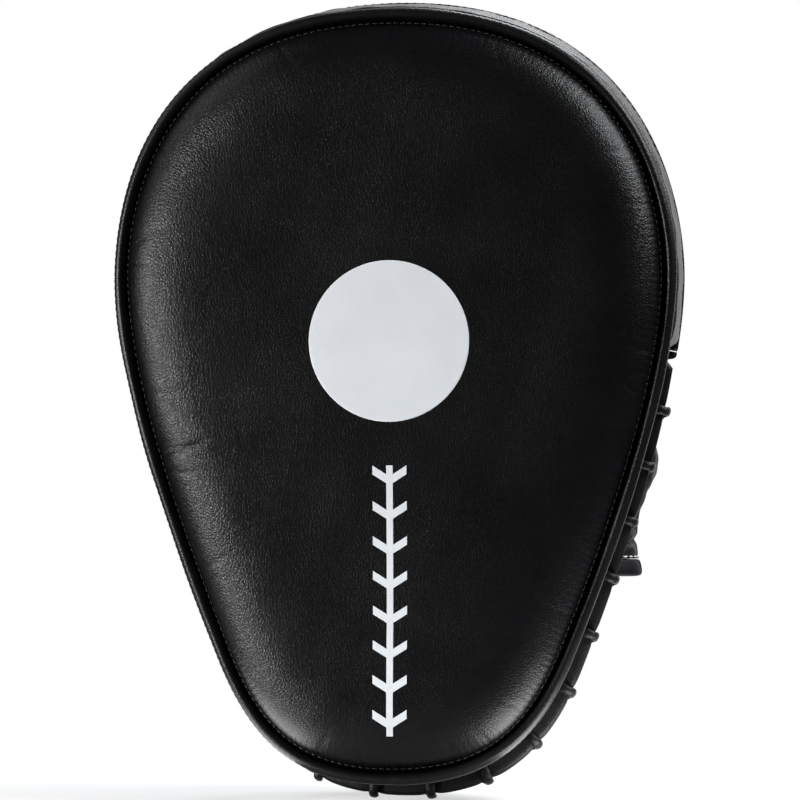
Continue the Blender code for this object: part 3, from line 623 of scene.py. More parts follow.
def printed_patch(corners, across, along):
    """A thin printed patch over four corners of the face, as its own closed skin."""
    a, b, c, d = (np.array(p, float) for p in corners)
    u = np.linspace(0, 1, across)[:, None, None]
    v = np.linspace(0, 1, along)[None, :, None]
    plan = (a * (1 - v) + b * v) * (1 - u) + (d * (1 - v) + c * v) * u
    top = face_front(plan[..., 0], plan[..., 1], PRINT_LIFT)
    low = face_front(plan[..., 0], plan[..., 1], PRINT_SINK)
    base = len(verts)
    verts.extend(top.reshape(-1, 3).tolist() + low.reshape(-1, 3).tolist())
    n = across * along
    for i in range(across - 1):
        for j in range(along - 1):
            q = (base + i * along + j, base + i * along + j + 1, base + (i + 1) * along + j + 1,
                 base + (i + 1) * along + j)
            faces.append(q)
            faces.append(tuple(k + n for k in reversed(q)))
    ring = [i * along for i in range(across)] + [(across - 1) * along + j for j in range(1, along)]
    ring += [i * along + along - 1 for i in range(across - 2, -1, -1)] + [j for j in range(along - 2, 0, -1)]
    for p, q in zip(ring, ring[1:] + ring[:1]):
        faces.append((base + p, base + p + n, base + q + n, base + q))


for row in range(MARK_ROWS):
    z = MARK_TOP - row * MARK_PITCH
    tail = 9.0 if row == MARK_ROWS - 1 else MARK_PITCH
    printed_patch(((-MARK_SPINE, z), (MARK_SPINE, z), (MARK_SPINE, z - tail), (-MARK_SPINE, z - tail)), 8, 3)
    for side in (-1, 1):
        printed_patch(((side * MARK_SPINE, z - 3), (side * MARK_REACH, z), (side * MARK_REACH, z - 3),
                       (side * MARK_SPINE, z - 6)), 4, 6)
mark = object_from("printed_mark", verts, faces, WHITE_INK)
for polygon in mark.data.polygons:
    polygon.use_smooth = False
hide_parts("face_mark")

# Seam stitches in the groove between face and lip
groove_y = float(np.interp(4.0, outside[:, 0], outside[:, 1]))
seam = edge_row("groove_stitches", np.append(RIM_S, HALF - 1e-6), 3.9, groove_y + 0.15, 1.7, groove_y - 3.0,
                STITCH_PITCH, 1.7, 0.22, BLACK_THREAD)

# ---------------------------------------------------------------- lip
LIP = ((-1.4, -28.0), (-1.2, -29.0), (-0.6, -29.8), (0.1, -30.2), (0.9, -30.3), (1.7, -30.0), (2.3, -29.2),
       (2.65, -28.2), (2.75, -27.2), (3.0, -26.1), (5.0, -26.0), (7.6, -26.0), (8.0, -25.7), (7.6, -25.3),
       (4.0, -25.4), (1.0, -25.4), (-0.3, -25.7), (-1.1, -26.6))
lip_shape = closed_profile(LIP, 40)
stations = RIM_S[::2]
roll = np.clip((-26.6 - lip_shape[:, 1]) / 1.5, 0, 1)
lip_grid = on_layout(stations[:, None], lip_shape[None, :, 0], lip_shape[None, :, 1])
uneven = 0.08 * np.cos(PUCKER * stations) + 0.12 * np.sin(stations / 9.0 + 1.3 * np.sin(stations / 31.0))
uneven = uneven[:, None] * roll
lip = grid_piece("edge_lip_leather", puffed(lip_grid, uneven, ring=True), LIP_LEATHER, ring=True)
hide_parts("edge_lip")

# ---------------------------------------------------------------- side wall, rear panel, lace
HOLES = [HALF - LACE_PITCH * (i + 0.5) for i in range(LACE_HOLES)]
HOLES = np.array(sorted(HOLES + [-h for h in HOLES]))


def near_hole(s, width):
    gap = (np.asarray(s)[..., None] - HOLES + HALF) % (2 * HALF) - HALF
    return bump(gap, width).sum(-1)


def flange_swell(s):
    """The flange stands out between the lace's wraps and is drawn in under each one."""
    laced = np.clip((np.abs(s) - HOOD_S - 1.0) / 45.0, 0, 1)
    return laced * (0.55 * near_hole(s, 2.4) - 1.1)


WALL = ((7.4, -25.2), (6.3, -25.3), (5.9, -21.0), (5.5, -14.0), (5.8, -8.0), (6.0, -4.6), (5.3, -3.45),
        (3.0, -3.4))
stations = RIM_S[::2]
sections = []
for s in stations:
    out = float(flange_inset(s, 5.4)) + float(flange_swell(s))
    rim = ((out + 0.8, -3.4), (out + 0.15, -3.2), (out, -2.5), (out + 0.15, -1.8), (out + 0.8, -1.56),
           (7.4, -1.56))
    sections.append(closed_profile([(max(i, out + 0.9), y) for i, y in WALL] + list(rim), 56))
sections = np.array(sections)
wall_grid = on_layout(stations[:, None], sections[..., 0], sections[..., 1])
depth = sections[..., 1]
upright = bump(depth + 14.0, 9.0) * (sections[..., 0] < 6.6)
ripple = 0.22 * SMALL(stations[:, None], depth * 0.35) * upright
laced = (depth > -3.6) * (np.abs(stations) > LACED_S)[:, None]
ripple = ripple - 0.35 * near_hole(stations, 1.6)[:, None] * laced
wall = grid_piece("side_wall_leather", puffed(wall_grid, ripple, ring=True), WALL_LEATHER, ring=True)
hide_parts("side_wall")

rows = []
for inset in (90.0, 70.0, 50.0, 30.0, 16.0, 8.0):
    rows.append((np.full(len(stations), inset), -1.6))
out = flange_inset(stations, 4.3) + flange_swell(stations)
for past, y in ((1.0, -1.6), (0.25, -1.45), (0.0, -0.9), (0.2, -0.25), (0.7, 0.0), (1.5, 0.1), (2.4, 0.1),
                (3.2, 0.05), (4.0, 0.1), (5.0, 0.12), (6.0, 0.1), (7.5, 0.0)):
    rows.append((out + past, y))
for inset in (12.0, 16.0, 30.0, 50.0, 70.0, 90.0):
    rows.append((np.full(len(stations), inset), 0.0))
inset = np.array([r[0] for r in rows])
depth = np.array([np.full(len(stations), r[1]) for r in rows])
rear_grid = on_layout(stations[None, :], inset, depth)
from_hole = inset - flange_edge(stations) - HOLE_DEPTH
dimple = -0.5 * near_hole(stations, 1.5) * bump(from_hole, 1.6) * (depth > -0.5)
rear = grid_piece("rear_panel_leather", puffed(rear_grid, dimple), REAR_LEATHER)
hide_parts("rear_panel")

OVER = 1.5
LACE_STITCH = ((-4.0, 3.3, 1.25), (-1.2, 3.2, 1.0), (0.0, 3.1, -0.4), (0.0, 3.1, -3.6), (0.0, 2.3, -4.8),
               (0.0, 0.5, -5.0), (0.0, -1.0, -4.2), (0.0, -OVER - 0.1, -2.4), (0.2, -OVER, -0.2),
               (1.2, 0.0, 1.45), (4.0, 1.4, 1.3))
path, centre = [], []
for hole in sorted([h for h in HOLES if h > 0] + [2 * HALF + h for h in HOLES if h < 0]):
    for along, inset, y in LACE_STITCH:
        s = hole + along
        edge = float(flange_edge(s))
        path.append(on_layout(s, edge + inset, y))
        centre.append(on_layout(s, edge + 1.6, -1.8))
path, centre = np.array(path), np.array(centre)


def rounded(points, steps):
    """A smooth line through points."""
    p = np.vstack((2 * points[0] - points[1], points, 2 * points[-1] - points[-2]))
    t = (np.arange(steps) / steps)[:, None]
    parts = []
    for a, b, c, d in zip(p, p[1:], p[2:], p[3:]):
        parts.append(0.5 * (2 * b + (c - a) * t + (2 * a - 5 * b + 4 * c - d) * t ** 2 +
                            (3 * b - a - 3 * c + d) * t ** 3))
    return np.vstack(parts + [points[-1:]])


line, middle = rounded(path, 5), rounded(centre, 5)
along = np.arange(len(line))
lace = sweep("lace_leather", line, line - middle, 1.6 + 0.1 * np.sin(along * 0.37),
             0.95 + 0.06 * np.sin(along * 0.23), LACE_LEATHER, sides=14)
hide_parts("edge_lace")

# Palm lining with its edge stitching
rows = [(90.0, 0.3), (60.0, 0.3), (30.0, 0.3), (9.3, 0.3), (9.0, 0.5), (9.0, 1.0), (9.35, 1.3), (10.2, 1.22),
        (11.2, 1.15), (12.2, 1.3), (15.0, 1.3), (22.0, 1.3), (32.0, 1.3), (46.0, 1.3), (62.0, 1.3),
        (78.0, 1.3), (90.0, 1.3)]
S, I = np.meshgrid(RIM_S[::3], [r[0] for r in rows])
lining_grid = on_layout(S, I, np.array([r[1] for r in rows])[:, None])
soft = 0.12 * MEDIUM(*at_edge(S, I)) * (np.arange(len(rows)) > 9)[:, None]
lining = grid_piece("palm_lining_fabric", puffed(lining_grid, soft), PALM_FABRIC)
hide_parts("palm_lining")
sew = edge_row("palm_lining_stitches", np.append(RIM_S[::2], HALF - 1e-6), 11.2, 1.2, 11.2, 5.0, 3.0, 2.2,
               0.28, BLACK_THREAD)

# ---------------------------------------------------------------- finger hood
BAND = ((3.9, -0.4), (0.5, -0.35), (-1.3, -0.5), (-1.8, -1.6), (-2.0, -8.0), (-2.05, -14.0), (-1.85, -20.5),
        (-1.85, -23.4), (-1.7, -24.6), (-0.9, -25.3), (1.2, -25.2), (2.8, -24.9), (3.9, -24.2), (3.8, -12.0))
band_s = np.linspace(-HOOD_S, HOOD_S, 420)
shape = closed_profile(BAND, 72)
end = np.clip((np.abs(band_s) - (HOOD_S - 5.0)) / 5.0, 0, 1)
keep = np.sqrt(np.clip(1 - end ** 2, 0, 1)) * 0.97 + 0.03
hold = np.array((3.4, -12.0))
sections = hold + (shape - hold) * np.stack((keep, 0.35 + 0.65 * keep), axis=-1)[:, None]
band_grid = on_layout(band_s[:, None], sections[..., 0], sections[..., 1])
outer_side = bump(sections[..., 0] + 1.9, 1.2)
ripple = outer_side * (0.22 * SMALL(band_s[:, None] * 0.8, sections[..., 1] * 0.5)
                       + 0.16 * MEDIUM(band_s[:, None], sections[..., 1]))
ripple = ripple - 0.5 * bump(sections[..., 1] + 3.4, 0.8) * outer_side
band = grid_piece("hood_band_leather", puffed(band_grid, ripple * (end < 0.6)[:, None]), HOOD_LEATHER)
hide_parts("hood_side_band")
sew = edge_row("hood_band_stitches", np.linspace(-HOOD_S + 7, HOOD_S - 7, 600), -1.85, -3.4, -6.0, -3.4,
               2.9, 2.2, 0.28, BLACK_THREAD)

piping_s = np.linspace(-HOOD_S + 0.5, HOOD_S - 0.5, 400)
line = on_layout(piping_s, -1.0, -0.05)
piping = sweep("hood_piping", line, on_layout(piping_s, -6.0, -0.05) - line, 1.0, 1.15, LIP_LEATHER)


def hood_place(s, inset, y):
    """Places on the hood: the pad's edge drawn toward the middle of the mouth."""
    s, inset, y = np.broadcast_arrays(np.asarray(s, float), np.asarray(inset, float), np.asarray(y, float))
    k = 1.0 - (inset - HOOD_INSET) / HOOD_SPAN
    x, z = at_edge(s, HOOD_INSET)
    z = HOOD_Z + (z - HOOD_Z) * k + HOOD_SCOOP * (1.0 - k * k)
    return bend(np.stack((x * k, y, z), axis=-1))


def hood_run(depth, count):
    run = offset_profile(smooth_profile(HOOD_PROFILE, count), depth)
    run[:, 1] = np.maximum(run[:, 1], 0.3)
    return run


HOOD_HUB = HOOD_INSET + HOOD_SPAN - 0.6


def hood_skin(name, depth_out, depth_in, swell, look, columns, rows):
    """One closed layer of the hood from outer to inner depth, ending along the mouth."""
    outer, inner = hood_run(depth_out, rows), hood_run(depth_in, rows)
    top = np.array([(i, outer[-1, 1]) for i in (84.0, 90.0, HOOD_HUB)])
    low = np.array([(i, inner[-1, 1]) for i in (HOOD_HUB, 90.0, 84.0)])
    s = np.linspace(-HOOD_S, HOOD_S, columns)
    profile = np.vstack((outer, top, low, inner[::-1]))
    S, P = np.meshgrid(s, np.arange(len(profile)), indexing="ij")
    inset, y = profile[P, 0], profile[P, 1]
    grid = hood_place(S, inset, y)
    face_out = (P < len(outer) + 2)
    verts, faces = skin(puffed(grid, swell(S, inset) * face_out), hubs=False)
    count = len(profile)
    for base in (0, (columns - 1) * count):
        for j in range(count // 2 - 1):
            faces.append((base + j, base + j + 1, base + count - 2 - j, base + count - 1 - j))
    return object_from(name, verts, faces, look)


OUTER_SEAM, INNER_SEAM = 15.0, 44.0     # insets of the two seams sewn through the cover


def hood_swell(s, inset):
    """The hood cover's padding: a sewn channel near the edge, a seam across, and soft wrinkles."""
    place = hood_place(s, inset, 0.0) / MM
    broad = 0.6 + 0.4 * BROAD(place[..., 0], place[..., 2])
    rise = 0.9 * np.sin(np.clip((inset - 4) / 60.0, 0, 1) * math.pi) * broad
    rise = rise + 0.35 * MEDIUM(place[..., 0], place[..., 2]) * np.clip(inset / 10, 0, 1)
    rise = rise - 1.1 * bump(inset - OUTER_SEAM, 1.3) - 0.9 * bump(inset - INNER_SEAM, 1.3)
    near_seams = bump(inset - OUTER_SEAM, 3.0) + bump(inset - INNER_SEAM, 3.0)
    rise = rise + 0.16 * np.cos(s * 2 * math.pi / 3.0) * near_seams
    fade = np.clip((HOOD_S - np.abs(s)) / 6.0, 0, 1) * np.clip((92 - inset) / 10, 0, 1)
    return np.clip(rise * fade, -1.2, 1.6)


cover = hood_skin("hood_cover_leather", 0.0, 1.5, hood_swell, HOOD_LEATHER, 460, 70)
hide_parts("hood_cover")
pocket = hood_skin("hood_lining_fabric", 7.2, 8.2, lambda s, inset: 0 * s, POCKET_FABRIC, 200, 36)
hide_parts("hood_lining")
run = hood_run(0.0, 400)
for name, inset in (("hood_seam_outer", OUTER_SEAM), ("hood_seam_inner", INNER_SEAM)):
    y = float(np.interp(inset, run[:, 0], run[:, 1]))
    s = np.linspace(-HOOD_S + 5, HOOD_S - 5, 500)
    here = hood_place(s, inset, y - 0.8)
    there = hood_place(s, inset - 1.0, y + 3.0)
    sew = sewn_row(name, here, there, pitch=3.0, length=2.2, radius=0.3, look=BLACK_THREAD)

# Binding along the hood's mouth, from one side over the top to the other
outer, inner = hood_run(0.0, 60)[3:], hood_run(8.2, 60)[3:]
sections = []
for side in (-1, 1):
    a = hood_place(side * HOOD_S, outer[:, 0], outer[:, 1]) / MM
    b = hood_place(side * HOOD_S, inner[:, 0], inner[:, 1]) / MM
    pairs = list(zip(a, b))
    sections += pairs if side < 0 else pairs[::-1]
mouth = np.array(sections)
step = np.linalg.norm(np.diff(mouth[:, 0], axis=0), axis=1)
length = np.concatenate(([0], np.cumsum(step)))
even = np.linspace(0, length[-1], 260)
mouth = np.stack([[np.interp(even, length, mouth[:, k, i]) for i in range(3)] for k in (0, 1)])
mouth = mouth.transpose(2, 0, 1)
turn = np.linspace(0, math.pi, 15)
across = (1 - np.cos(turn)) / 2
fall = 0.3 + 3.0 * np.sin(turn) ** 0.7
wide = mouth[:, :1] + (mouth[:, 1:] - mouth[:, :1]) * (across * 1.03 - 0.015)[None, :, None]
wide[..., 2] -= fall * (1 + 0.04 * np.sin(even / 2.3))[:, None]
binding = grid_piece("hood_mouth_binding", wide * MM, BINDING_LEATHER)
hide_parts("hood_binding")

# ---------------------------------------------------------------- thumb stall
THUMB_PATH = np.array(((60.0, 20.0, -73.5, 19.4, 17.0), (59.5, 20.0, -65.0, 18.9, 17.0),
                       (61.5, 20.0, -55.0, 19.6, 17.0), (65.0, 20.0, -45.0, 20.6, 17.0),
                       (66.5, 19.6, -37.0, 19.4, 16.6), (66.5, 18.7, -30.0, 16.0, 14.6),
                       (66.0, 17.5, -25.0, 10.5, 10.5), (66.0, 16.5, -22.6, 4.5, 4.8)))
THUMB_TURN = np.linspace(0, 2 * math.pi, 120, endpoint=False)


def thumb_rows(shrink, steps):
    """The stall's sections from mouth to tip, drawn in by shrink."""
    line = rounded(THUMB_PATH, steps)
    kept = line[line[:, 3] - shrink > 2.4]
    drop = shrink * np.linspace(0, 1, len(line))[:len(kept)]
    w, d = kept[:, 3] - shrink, kept[:, 4] - shrink
    x = kept[:, :1] + w[:, None] * np.cos(THUMB_TURN)
    y = kept[:, 1:2] + d[:, None] * np.sin(THUMB_TURN)
    z = np.broadcast_to((kept[:, 2] - drop)[:, None], x.shape)
    return np.stack((x, y, z), axis=-1)


def thumb_layer(name, outside, inside, swell, look, steps=11):
    outer, inner = thumb_rows(outside, steps), thumb_rows(inside, 4)
    grid = bend(np.concatenate((outer[::-1], inner)))
    height = np.concatenate((outer[::-1], inner))[..., 2]
    amount = swell(THUMB_TURN[None, :], height) * (np.arange(len(grid)) < len(outer) - 1)[:, None]
    return grid_piece(name, puffed(grid, amount), look)


def thumb_swell(turn, z):
    """Folds and seams of the stall: a gather over the mouth, an outer pinch, a seam over the tip."""
    angle = (turn + math.pi) % (2 * math.pi) - math.pi
    out = 0.55 * waves(31, 16.0)(turn * 19, z) + 0.20 * waves(32, 6.0)(turn * 19, z)
    fold = z + 68.6 - 2.6 * np.abs(angle + 0.42)
    out = out - 1.5 * bump(fold, 0.9) * bump(angle + 0.42, 0.55)
    out = out + 0.9 * bump(fold - 2.2, 1.4) * bump(angle + 0.5, 0.6)
    out = out - 1.0 * bump(z + 52 + 4 * np.sin(angle * 2), 1.5) * bump(angle - 0.7, 0.9)
    out = out - 0.8 * bump((angle - 1.35) * 18, 1.0) * (z > -71)
    out = out - 0.7 * bump(z + 73.3, 0.9)
    return out * np.clip((z + 74.2) / 1.5, 0.3, 1) * np.clip((-22.6 - z) / 6.0, 0, 1)


thumb = thumb_layer("thumb_stall_leather", 0.0, 1.4, thumb_swell, WALL_LEATHER)
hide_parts("thumb_shell")
cup = thumb_layer("thumb_stall_lining", 2.0, 5.7, lambda turn, z: 0 * z, POCKET_FABRIC, 6)
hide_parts("thumb_padding")

MOUTH = THUMB_PATH[0]


def mouth_ring(shrink, z, turns=THUMB_TURN):
    return np.stack((MOUTH[0] + (MOUTH[3] - shrink) * np.cos(turns),
                     MOUTH[1] + (MOUTH[4] - shrink) * np.sin(turns), np.broadcast_to(z, turns.shape)),
                    axis=-1)


CUFF = closed_profile(((6.1, 0.1), (0.1, 0.0), (-0.4, 0.9), (-0.9, 2.6), (-1.1, 4.0), (-0.7, 5.0), (1.2, 5.3),
                       (4.6, 5.3), (6.1, 4.4)), 44)
cuff_grid = bend(np.array([mouth_ring(shrink, MOUTH[2] - 0.3 - down) for shrink, down in CUFF]))
cuff_uneven = 0.22 * waves(33, 14.0)(THUMB_TURN[None, :] * 19, CUFF[:, 1:])
cuff = grid_piece("thumb_stall_binding", puffed(cuff_grid, cuff_uneven, ring=True), BINDING_LEATHER,
                  ring=True)
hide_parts("thumb_binding")
ring_turn = np.linspace(0, 2 * math.pi, 241)
here = bend(mouth_ring(0.35, MOUTH[2] + 0.55, ring_turn))
there = bend(mouth_ring(-4.0, MOUTH[2] + 0.55, ring_turn))
sew = sewn_row("thumb_mouth_stitches", here, there, pitch=3.0, length=2.1, radius=0.33, look=WHITE_THREAD)

# ---------------------------------------------------------------- palm ball
BALL_RADIUS, BALL_HEIGHT, BALL_BASE_Y = 22.0, 21.0, 1.6
ball_turn = np.linspace(0, 2 * math.pi, 144, endpoint=False)
rise = np.concatenate((np.linspace(1.50, 0.02, 8), np.linspace(0.0, 1.52, 48)))
shrink = np.concatenate((np.full(8, 1.6), np.zeros(48)))
RISE, TURN = np.meshgrid(rise, ball_turn, indexing="ij")
wide = (BALL_RADIUS - shrink[:, None]) * np.cos(RISE)
ball = np.stack((wide * np.cos(TURN), BALL_BASE_Y + (BALL_HEIGHT - shrink[:, None]) * np.sin(RISE),
                 wide * np.sin(TURN) + PALM_Z), axis=-1)
gap = (TURN + math.pi / 4) % (math.pi / 2) - math.pi / 4
seam = bump(gap * np.maximum(wide, 1.0), 0.8)
swell = 0.28 * waves(41, 12.0)(ball[..., 0], ball[..., 2]) - 0.75 * seam - 0.5 * bump(RISE - 0.09, 0.03)
swell = swell + 0.25 * bump(gap * np.maximum(wide, 1.0) - 2.0, 1.2)
swell = swell * (shrink == 0)[:, None] * np.clip(np.cos(RISE) * 4, 0, 1)
ball_grid = puffed(bend(ball), swell)
palm_ball = grid_piece("palm_ball_leather", ball_grid, REAR_LEATHER)
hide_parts("palm_ball_cover")
ring_turn = np.linspace(0, 2 * math.pi, 200)
here = bend(np.stack((21.85 * np.cos(ring_turn), np.full(200, 3.4), 21.85 * np.sin(ring_turn) + PALM_Z),
                     axis=-1))
there = bend(np.stack((25.0 * np.cos(ring_turn), np.full(200, 4.2), 25.0 * np.sin(ring_turn) + PALM_Z),
                      axis=-1))
sew = sewn_row("palm_ball_stitches", here, there, pitch=3.0, length=2.2, radius=0.3, look=BLACK_THREAD)

# ---------------------------------------------------------------- wrist strap
STRAP_Z, STRAP_WIDTH, ARCH_HALF_WIDTH, ARCH_HEIGHT, ARCH_BASE_Y = -104.0, 34.0, 36.5, 42.0, 6.0
BAND_OFFSET, BAND_THICKNESS = 5.2, 2.4
TILT = -(FLAT_BOTTOM - STRAP_Z) / BEND_BOTTOM
HINGE_X = -(ARCH_HALF_WIDTH + BAND_OFFSET + BAND_THICKNESS / 2)
HINGE_Y = ARCH_BASE_Y
STRAP_FOOT = bend(np.array((0.0, 0.0, STRAP_Z)))
STRAP_PLACE = np.array((HINGE_X * MM, STRAP_FOOT[1] + HINGE_Y * MM * math.cos(TILT),
                        STRAP_FOOT[2] + HINGE_Y * MM * math.sin(TILT)))
STRAP_TURN = np.array(Matrix.Rotation(TILT, 3, "X"))


def strap_place(p):
    """Points of the strap's own frame, in millimetres, to metres in the mitt's frame."""
    return (np.asarray(p, float) - (HINGE_X, HINGE_Y, 0.0)) * MM @ STRAP_TURN.T + STRAP_PLACE


def arch(degrees, offset, z):
    t = np.radians(degrees)
    t, offset, z = np.broadcast_arrays(t, offset, z)
    x = (ARCH_HALF_WIDTH + offset) * np.cos(t)
    y = ARCH_BASE_Y + (ARCH_HEIGHT + offset) * np.sin(t)
    return np.stack((x, y, z), axis=-1)


def arch_grid(start, end, inner, outer, width, steps=150, around=52, corner=4.0):
    """A strip along the strap's arch with rounded ends, as a grid in the strap's frame."""
    half, thick = width / 2, outer - inner
    edge = 0.35 * thick
    shape = closed_profile(((inner, half - edge), (inner, -half + edge), (inner + edge, -half),
                            (outer - edge, -half), (outer, -half + edge), (outer, half - edge),
                            (outer - edge, half), (inner + edge, half)), around)
    t = np.linspace(start, end, steps)
    reach = np.abs(t - start) / 180 * math.pi * (ARCH_HALF_WIDTH + 8)
    reach = np.minimum(reach, reach[::-1])
    tip = np.clip((corner - reach) / corner, 0, 1)
    narrow = 1 - (1 - np.sqrt(np.clip(1 - tip ** 2, 0, 1))) * corner / half
    slim = np.sqrt(np.clip(1 - np.clip((edge - reach) / edge, 0, 1) ** 2, 0.02, 1))
    middle = (inner + outer) / 2
    offset = middle + (shape[None, :, 0] - middle) * slim[:, None]
    grid = arch(t[:, None], offset, shape[None, :, 1] * narrow[:, None])
    return grid, t, shape


def strap_strip(name, node_name, start, end, inner, outer, width, look, body, wave=0.12, **more):
    grid, t, shape = arch_grid(start, end, inner, outer, width, **more)
    amount = wave * waves(len(name), 15.0)(t[:, None] * 0.8, shape[None, :, 1]) * np.clip(
        np.minimum(np.arange(len(t)), np.arange(len(t))[::-1]) / 5.0, 0, 1)[:, None]
    piece = grid_piece(name, puffed(strap_place(grid), amount), look, body)
    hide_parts(node_name)
    return piece


def arch_row(name, start, end, offset, z, body):
    """Black stitches along the strap's arch, on its outer side."""
    t = np.linspace(start, end, 200)
    here = strap_place(arch(t, offset, z))
    there = strap_place(arch(t, offset + 5.0, z))
    sew = sewn_row(name, here, there, pitch=3.1, length=2.3, radius=0.3, look=BLACK_THREAD, body=body)


STRAP_SEAM, PULL_SEAM = 14.6, 8.6       # how far the rows of stitches lie from the strap's middle
outer = BAND_OFFSET + BAND_THICKNESS
strap_strip("strap_band_leather", "strap_band", 180, 24, BAND_OFFSET, outer, STRAP_WIDTH, REAR_LEATHER,
            "strap", steps=240)
strap_strip("strap_pull_leather", "strap_pull_tab", 36, 14, outer + 0.3, outer + 1.8, 22.0, LIP_LEATHER,
            "strap", 0.08, steps=60)
strap_strip("strap_tongue_leather", "strap_tongue", 2, 82, 0.0, 2.2, STRAP_WIDTH, REAR_LEATHER, "pad")
strap_strip("loop_tape", "loop_patch", 26, 78, 2.5, 3.7, 28.0, LOOP_FABRIC, "pad", 0.2, corner=1.5)
strap_strip("hook_tape", "hook_patch", 80, 30, 4.0, 4.9, 28.0, HOOK_FABRIC, "strap", 0.03, corner=1.5)
for side, tag in ((-1, "low"), (1, "high")):
    arch_row("strap_band_stitches_" + tag, 176, 28, outer + 0.02, side * STRAP_SEAM, "strap")
    arch_row("strap_tongue_stitches_" + tag, 5, 24, 2.22, side * STRAP_SEAM, "pad")
    arch_row("strap_pull_stitches_" + tag, 34, 16, outer + 1.82, side * PULL_SEAM, "strap")
hooks_t, hooks_z = np.meshgrid(np.linspace(79, 31, 34), np.linspace(-12.8, 12.8, 22))
hooks_t = (hooks_t + (np.arange(22) % 2)[:, None] * 0.7).ravel()
hooks_z = hooks_z.ravel()
at = strap_place(arch(hooks_t, 3.78, hooks_z))
out = strap_place(arch(hooks_t, 3.0, hooks_z)) - at
way = strap_place(arch(hooks_t + 0.5, 3.78, hooks_z)) - at
hooks = stitches("hook_tape_hooks", at, out, way, 0.62, 0.13, HOOK_FABRIC, "strap")


def block_grid(size, centre, edge, place, around=48, along=60):
    """A soft-cornered block as rounded sections along z, in millimetres, then put in place."""
    hx, hy, hz = np.array(size) / 2
    shape = closed_profile(((-hx + edge, -hy), (hx - edge, -hy), (hx, -hy + edge), (hx, hy - edge),
                            (hx - edge, hy), (-hx + edge, hy), (-hx, hy - edge), (-hx, -hy + edge)), around)
    z = np.linspace(-hz, hz, along)
    tip = np.clip((edge - (hz - np.abs(z))) / edge, 0, 1)
    keep = 1 - (1 - np.sqrt(np.clip(1 - tip ** 2, 0.03, 1)))[:, None] * edge / np.array((hx, hy))
    points = np.concatenate((shape[None] * keep[:, None],
                             np.broadcast_to(z[:, None, None], (along, around, 1))), axis=-1)
    return place(points + np.array(centre))


def block_piece(name, slot, size, centre, edge, look, place, wave=0.1):
    grid = block_grid(size, centre, edge, place)
    along, round_it = np.arange(grid.shape[0])[:, None], np.arange(grid.shape[1])[None, :]
    amount = wave * waves(len(name) + 3, 8.0)(along, round_it)
    piece = grid_piece(name, puffed(grid, amount), look)
    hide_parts(slot)
    return piece


SEWN_Y = 1.6        # where the roots are sewn to the lining
ROOT_HEIGHT = ARCH_BASE_Y - BAND_THICKNESS / 2 - SEWN_Y - 0.4
TONGUE_ROOT = 4.1
block_piece("strap_root_leather", "strap_root_tab", (8.0, ROOT_HEIGHT, STRAP_WIDTH),
            (HINGE_X, SEWN_Y + ROOT_HEIGHT / 2, 0.0), 0.9, LIP_LEATHER, strap_place)
block_piece("tongue_root_leather", "tongue_root_tab", (12.0, TONGUE_ROOT, STRAP_WIDTH),
            (ARCH_HALF_WIDTH + 1.1, SEWN_Y + TONGUE_ROOT / 2, 0.0), 1.2, LIP_LEATHER, strap_place)
block_piece("thumb_anchor_leather", "thumb_anchor_strip", (16.0, 1.1, 36.0), (55.0, 2.15, -51.0), 0.4,
            REAR_LEATHER, bend, 0.04)


# ---------------------------------------------------------------- sewn cushions
CLOTH_FRAMES = 20


def evaluated(piece):
    """The piece's mesh with its modifiers applied."""
    return bpy.data.meshes.new_from_object(piece.evaluated_get(bpy.context.evaluated_depsgraph_get()))


def inflate(piece, voxel, pressure, cap):
    """Swells a closed piece by a short cloth simulation, moving no point further than cap."""
    mesh = piece.data
    remesh = piece.modifiers.new("even", "REMESH")
    remesh.mode = "VOXEL"
    remesh.voxel_size = voxel
    even = evaluated(piece)
    piece.modifiers.clear()
    piece.data = even
    bpy.data.meshes.remove(mesh)
    start = np.array([v.co[:] for v in even.vertices])
    cloth_step = piece.modifiers.new("stuffing", "CLOTH")
    settings = cloth_step.settings
    settings.use_pressure = True
    settings.uniform_pressure_force = pressure
    settings.effector_weights.gravity = 0
    settings.mass = 0.2
    settings.tension_stiffness = 30
    settings.compression_stiffness = 30
    settings.bending_stiffness = 4
    cloth_step.point_cache.frame_start = 1
    cloth_step.point_cache.frame_end = CLOTH_FRAMES
    scene = bpy.context.scene
    for frame_number in range(1, CLOTH_FRAMES + 1):
        scene.frame_set(frame_number)
    swollen = evaluated(piece)
    end = np.array([v.co[:] for v in swollen.vertices])
    bpy.data.meshes.remove(swollen)
    piece.modifiers.clear()
    scene.frame_set(1)
    move = end - start
    size = np.linalg.norm(move, axis=1, keepdims=True)
    end = start + move * np.minimum(1.0, cap / np.maximum(size, 1e-9))
    even.vertices.foreach_set("co", end.ravel())
    even.update()


def subdivided(piece):
    step = piece.modifiers.new("smooth", "SUBSURF")
    step.levels = 1
    step.render_levels = 1
    finer = evaluated(piece)
    piece.modifiers.clear()
    old = piece.data
    piece.data = finer
    bpy.data.meshes.remove(old)


def cushion(name, slot, grid, look, body, channels, floor_y, ceiling):
    """A stuffed cushion made in the strap's frame, with sewn channels, then put in place."""
    piece = grid_piece(name, grid * MM, look, body)
    inflate(piece, voxel=0.0013, pressure=4.0, cap=0.0016)
    subdivided(piece)
    mesh = piece.data
    if not mesh.materials:
        mesh.materials.append(look)
    points = np.array([v.co[:] for v in mesh.vertices]) / MM
    points = channels(points)
    if floor_y is not None:
        points[:, 1] = np.clip(points[:, 1], floor_y, ceiling)
    mesh.vertices.foreach_set("co", strap_place(points).ravel())
    mesh.update()
    for polygon in mesh.polygons:
        polygon.use_smooth = True
    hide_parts(slot)
    return piece


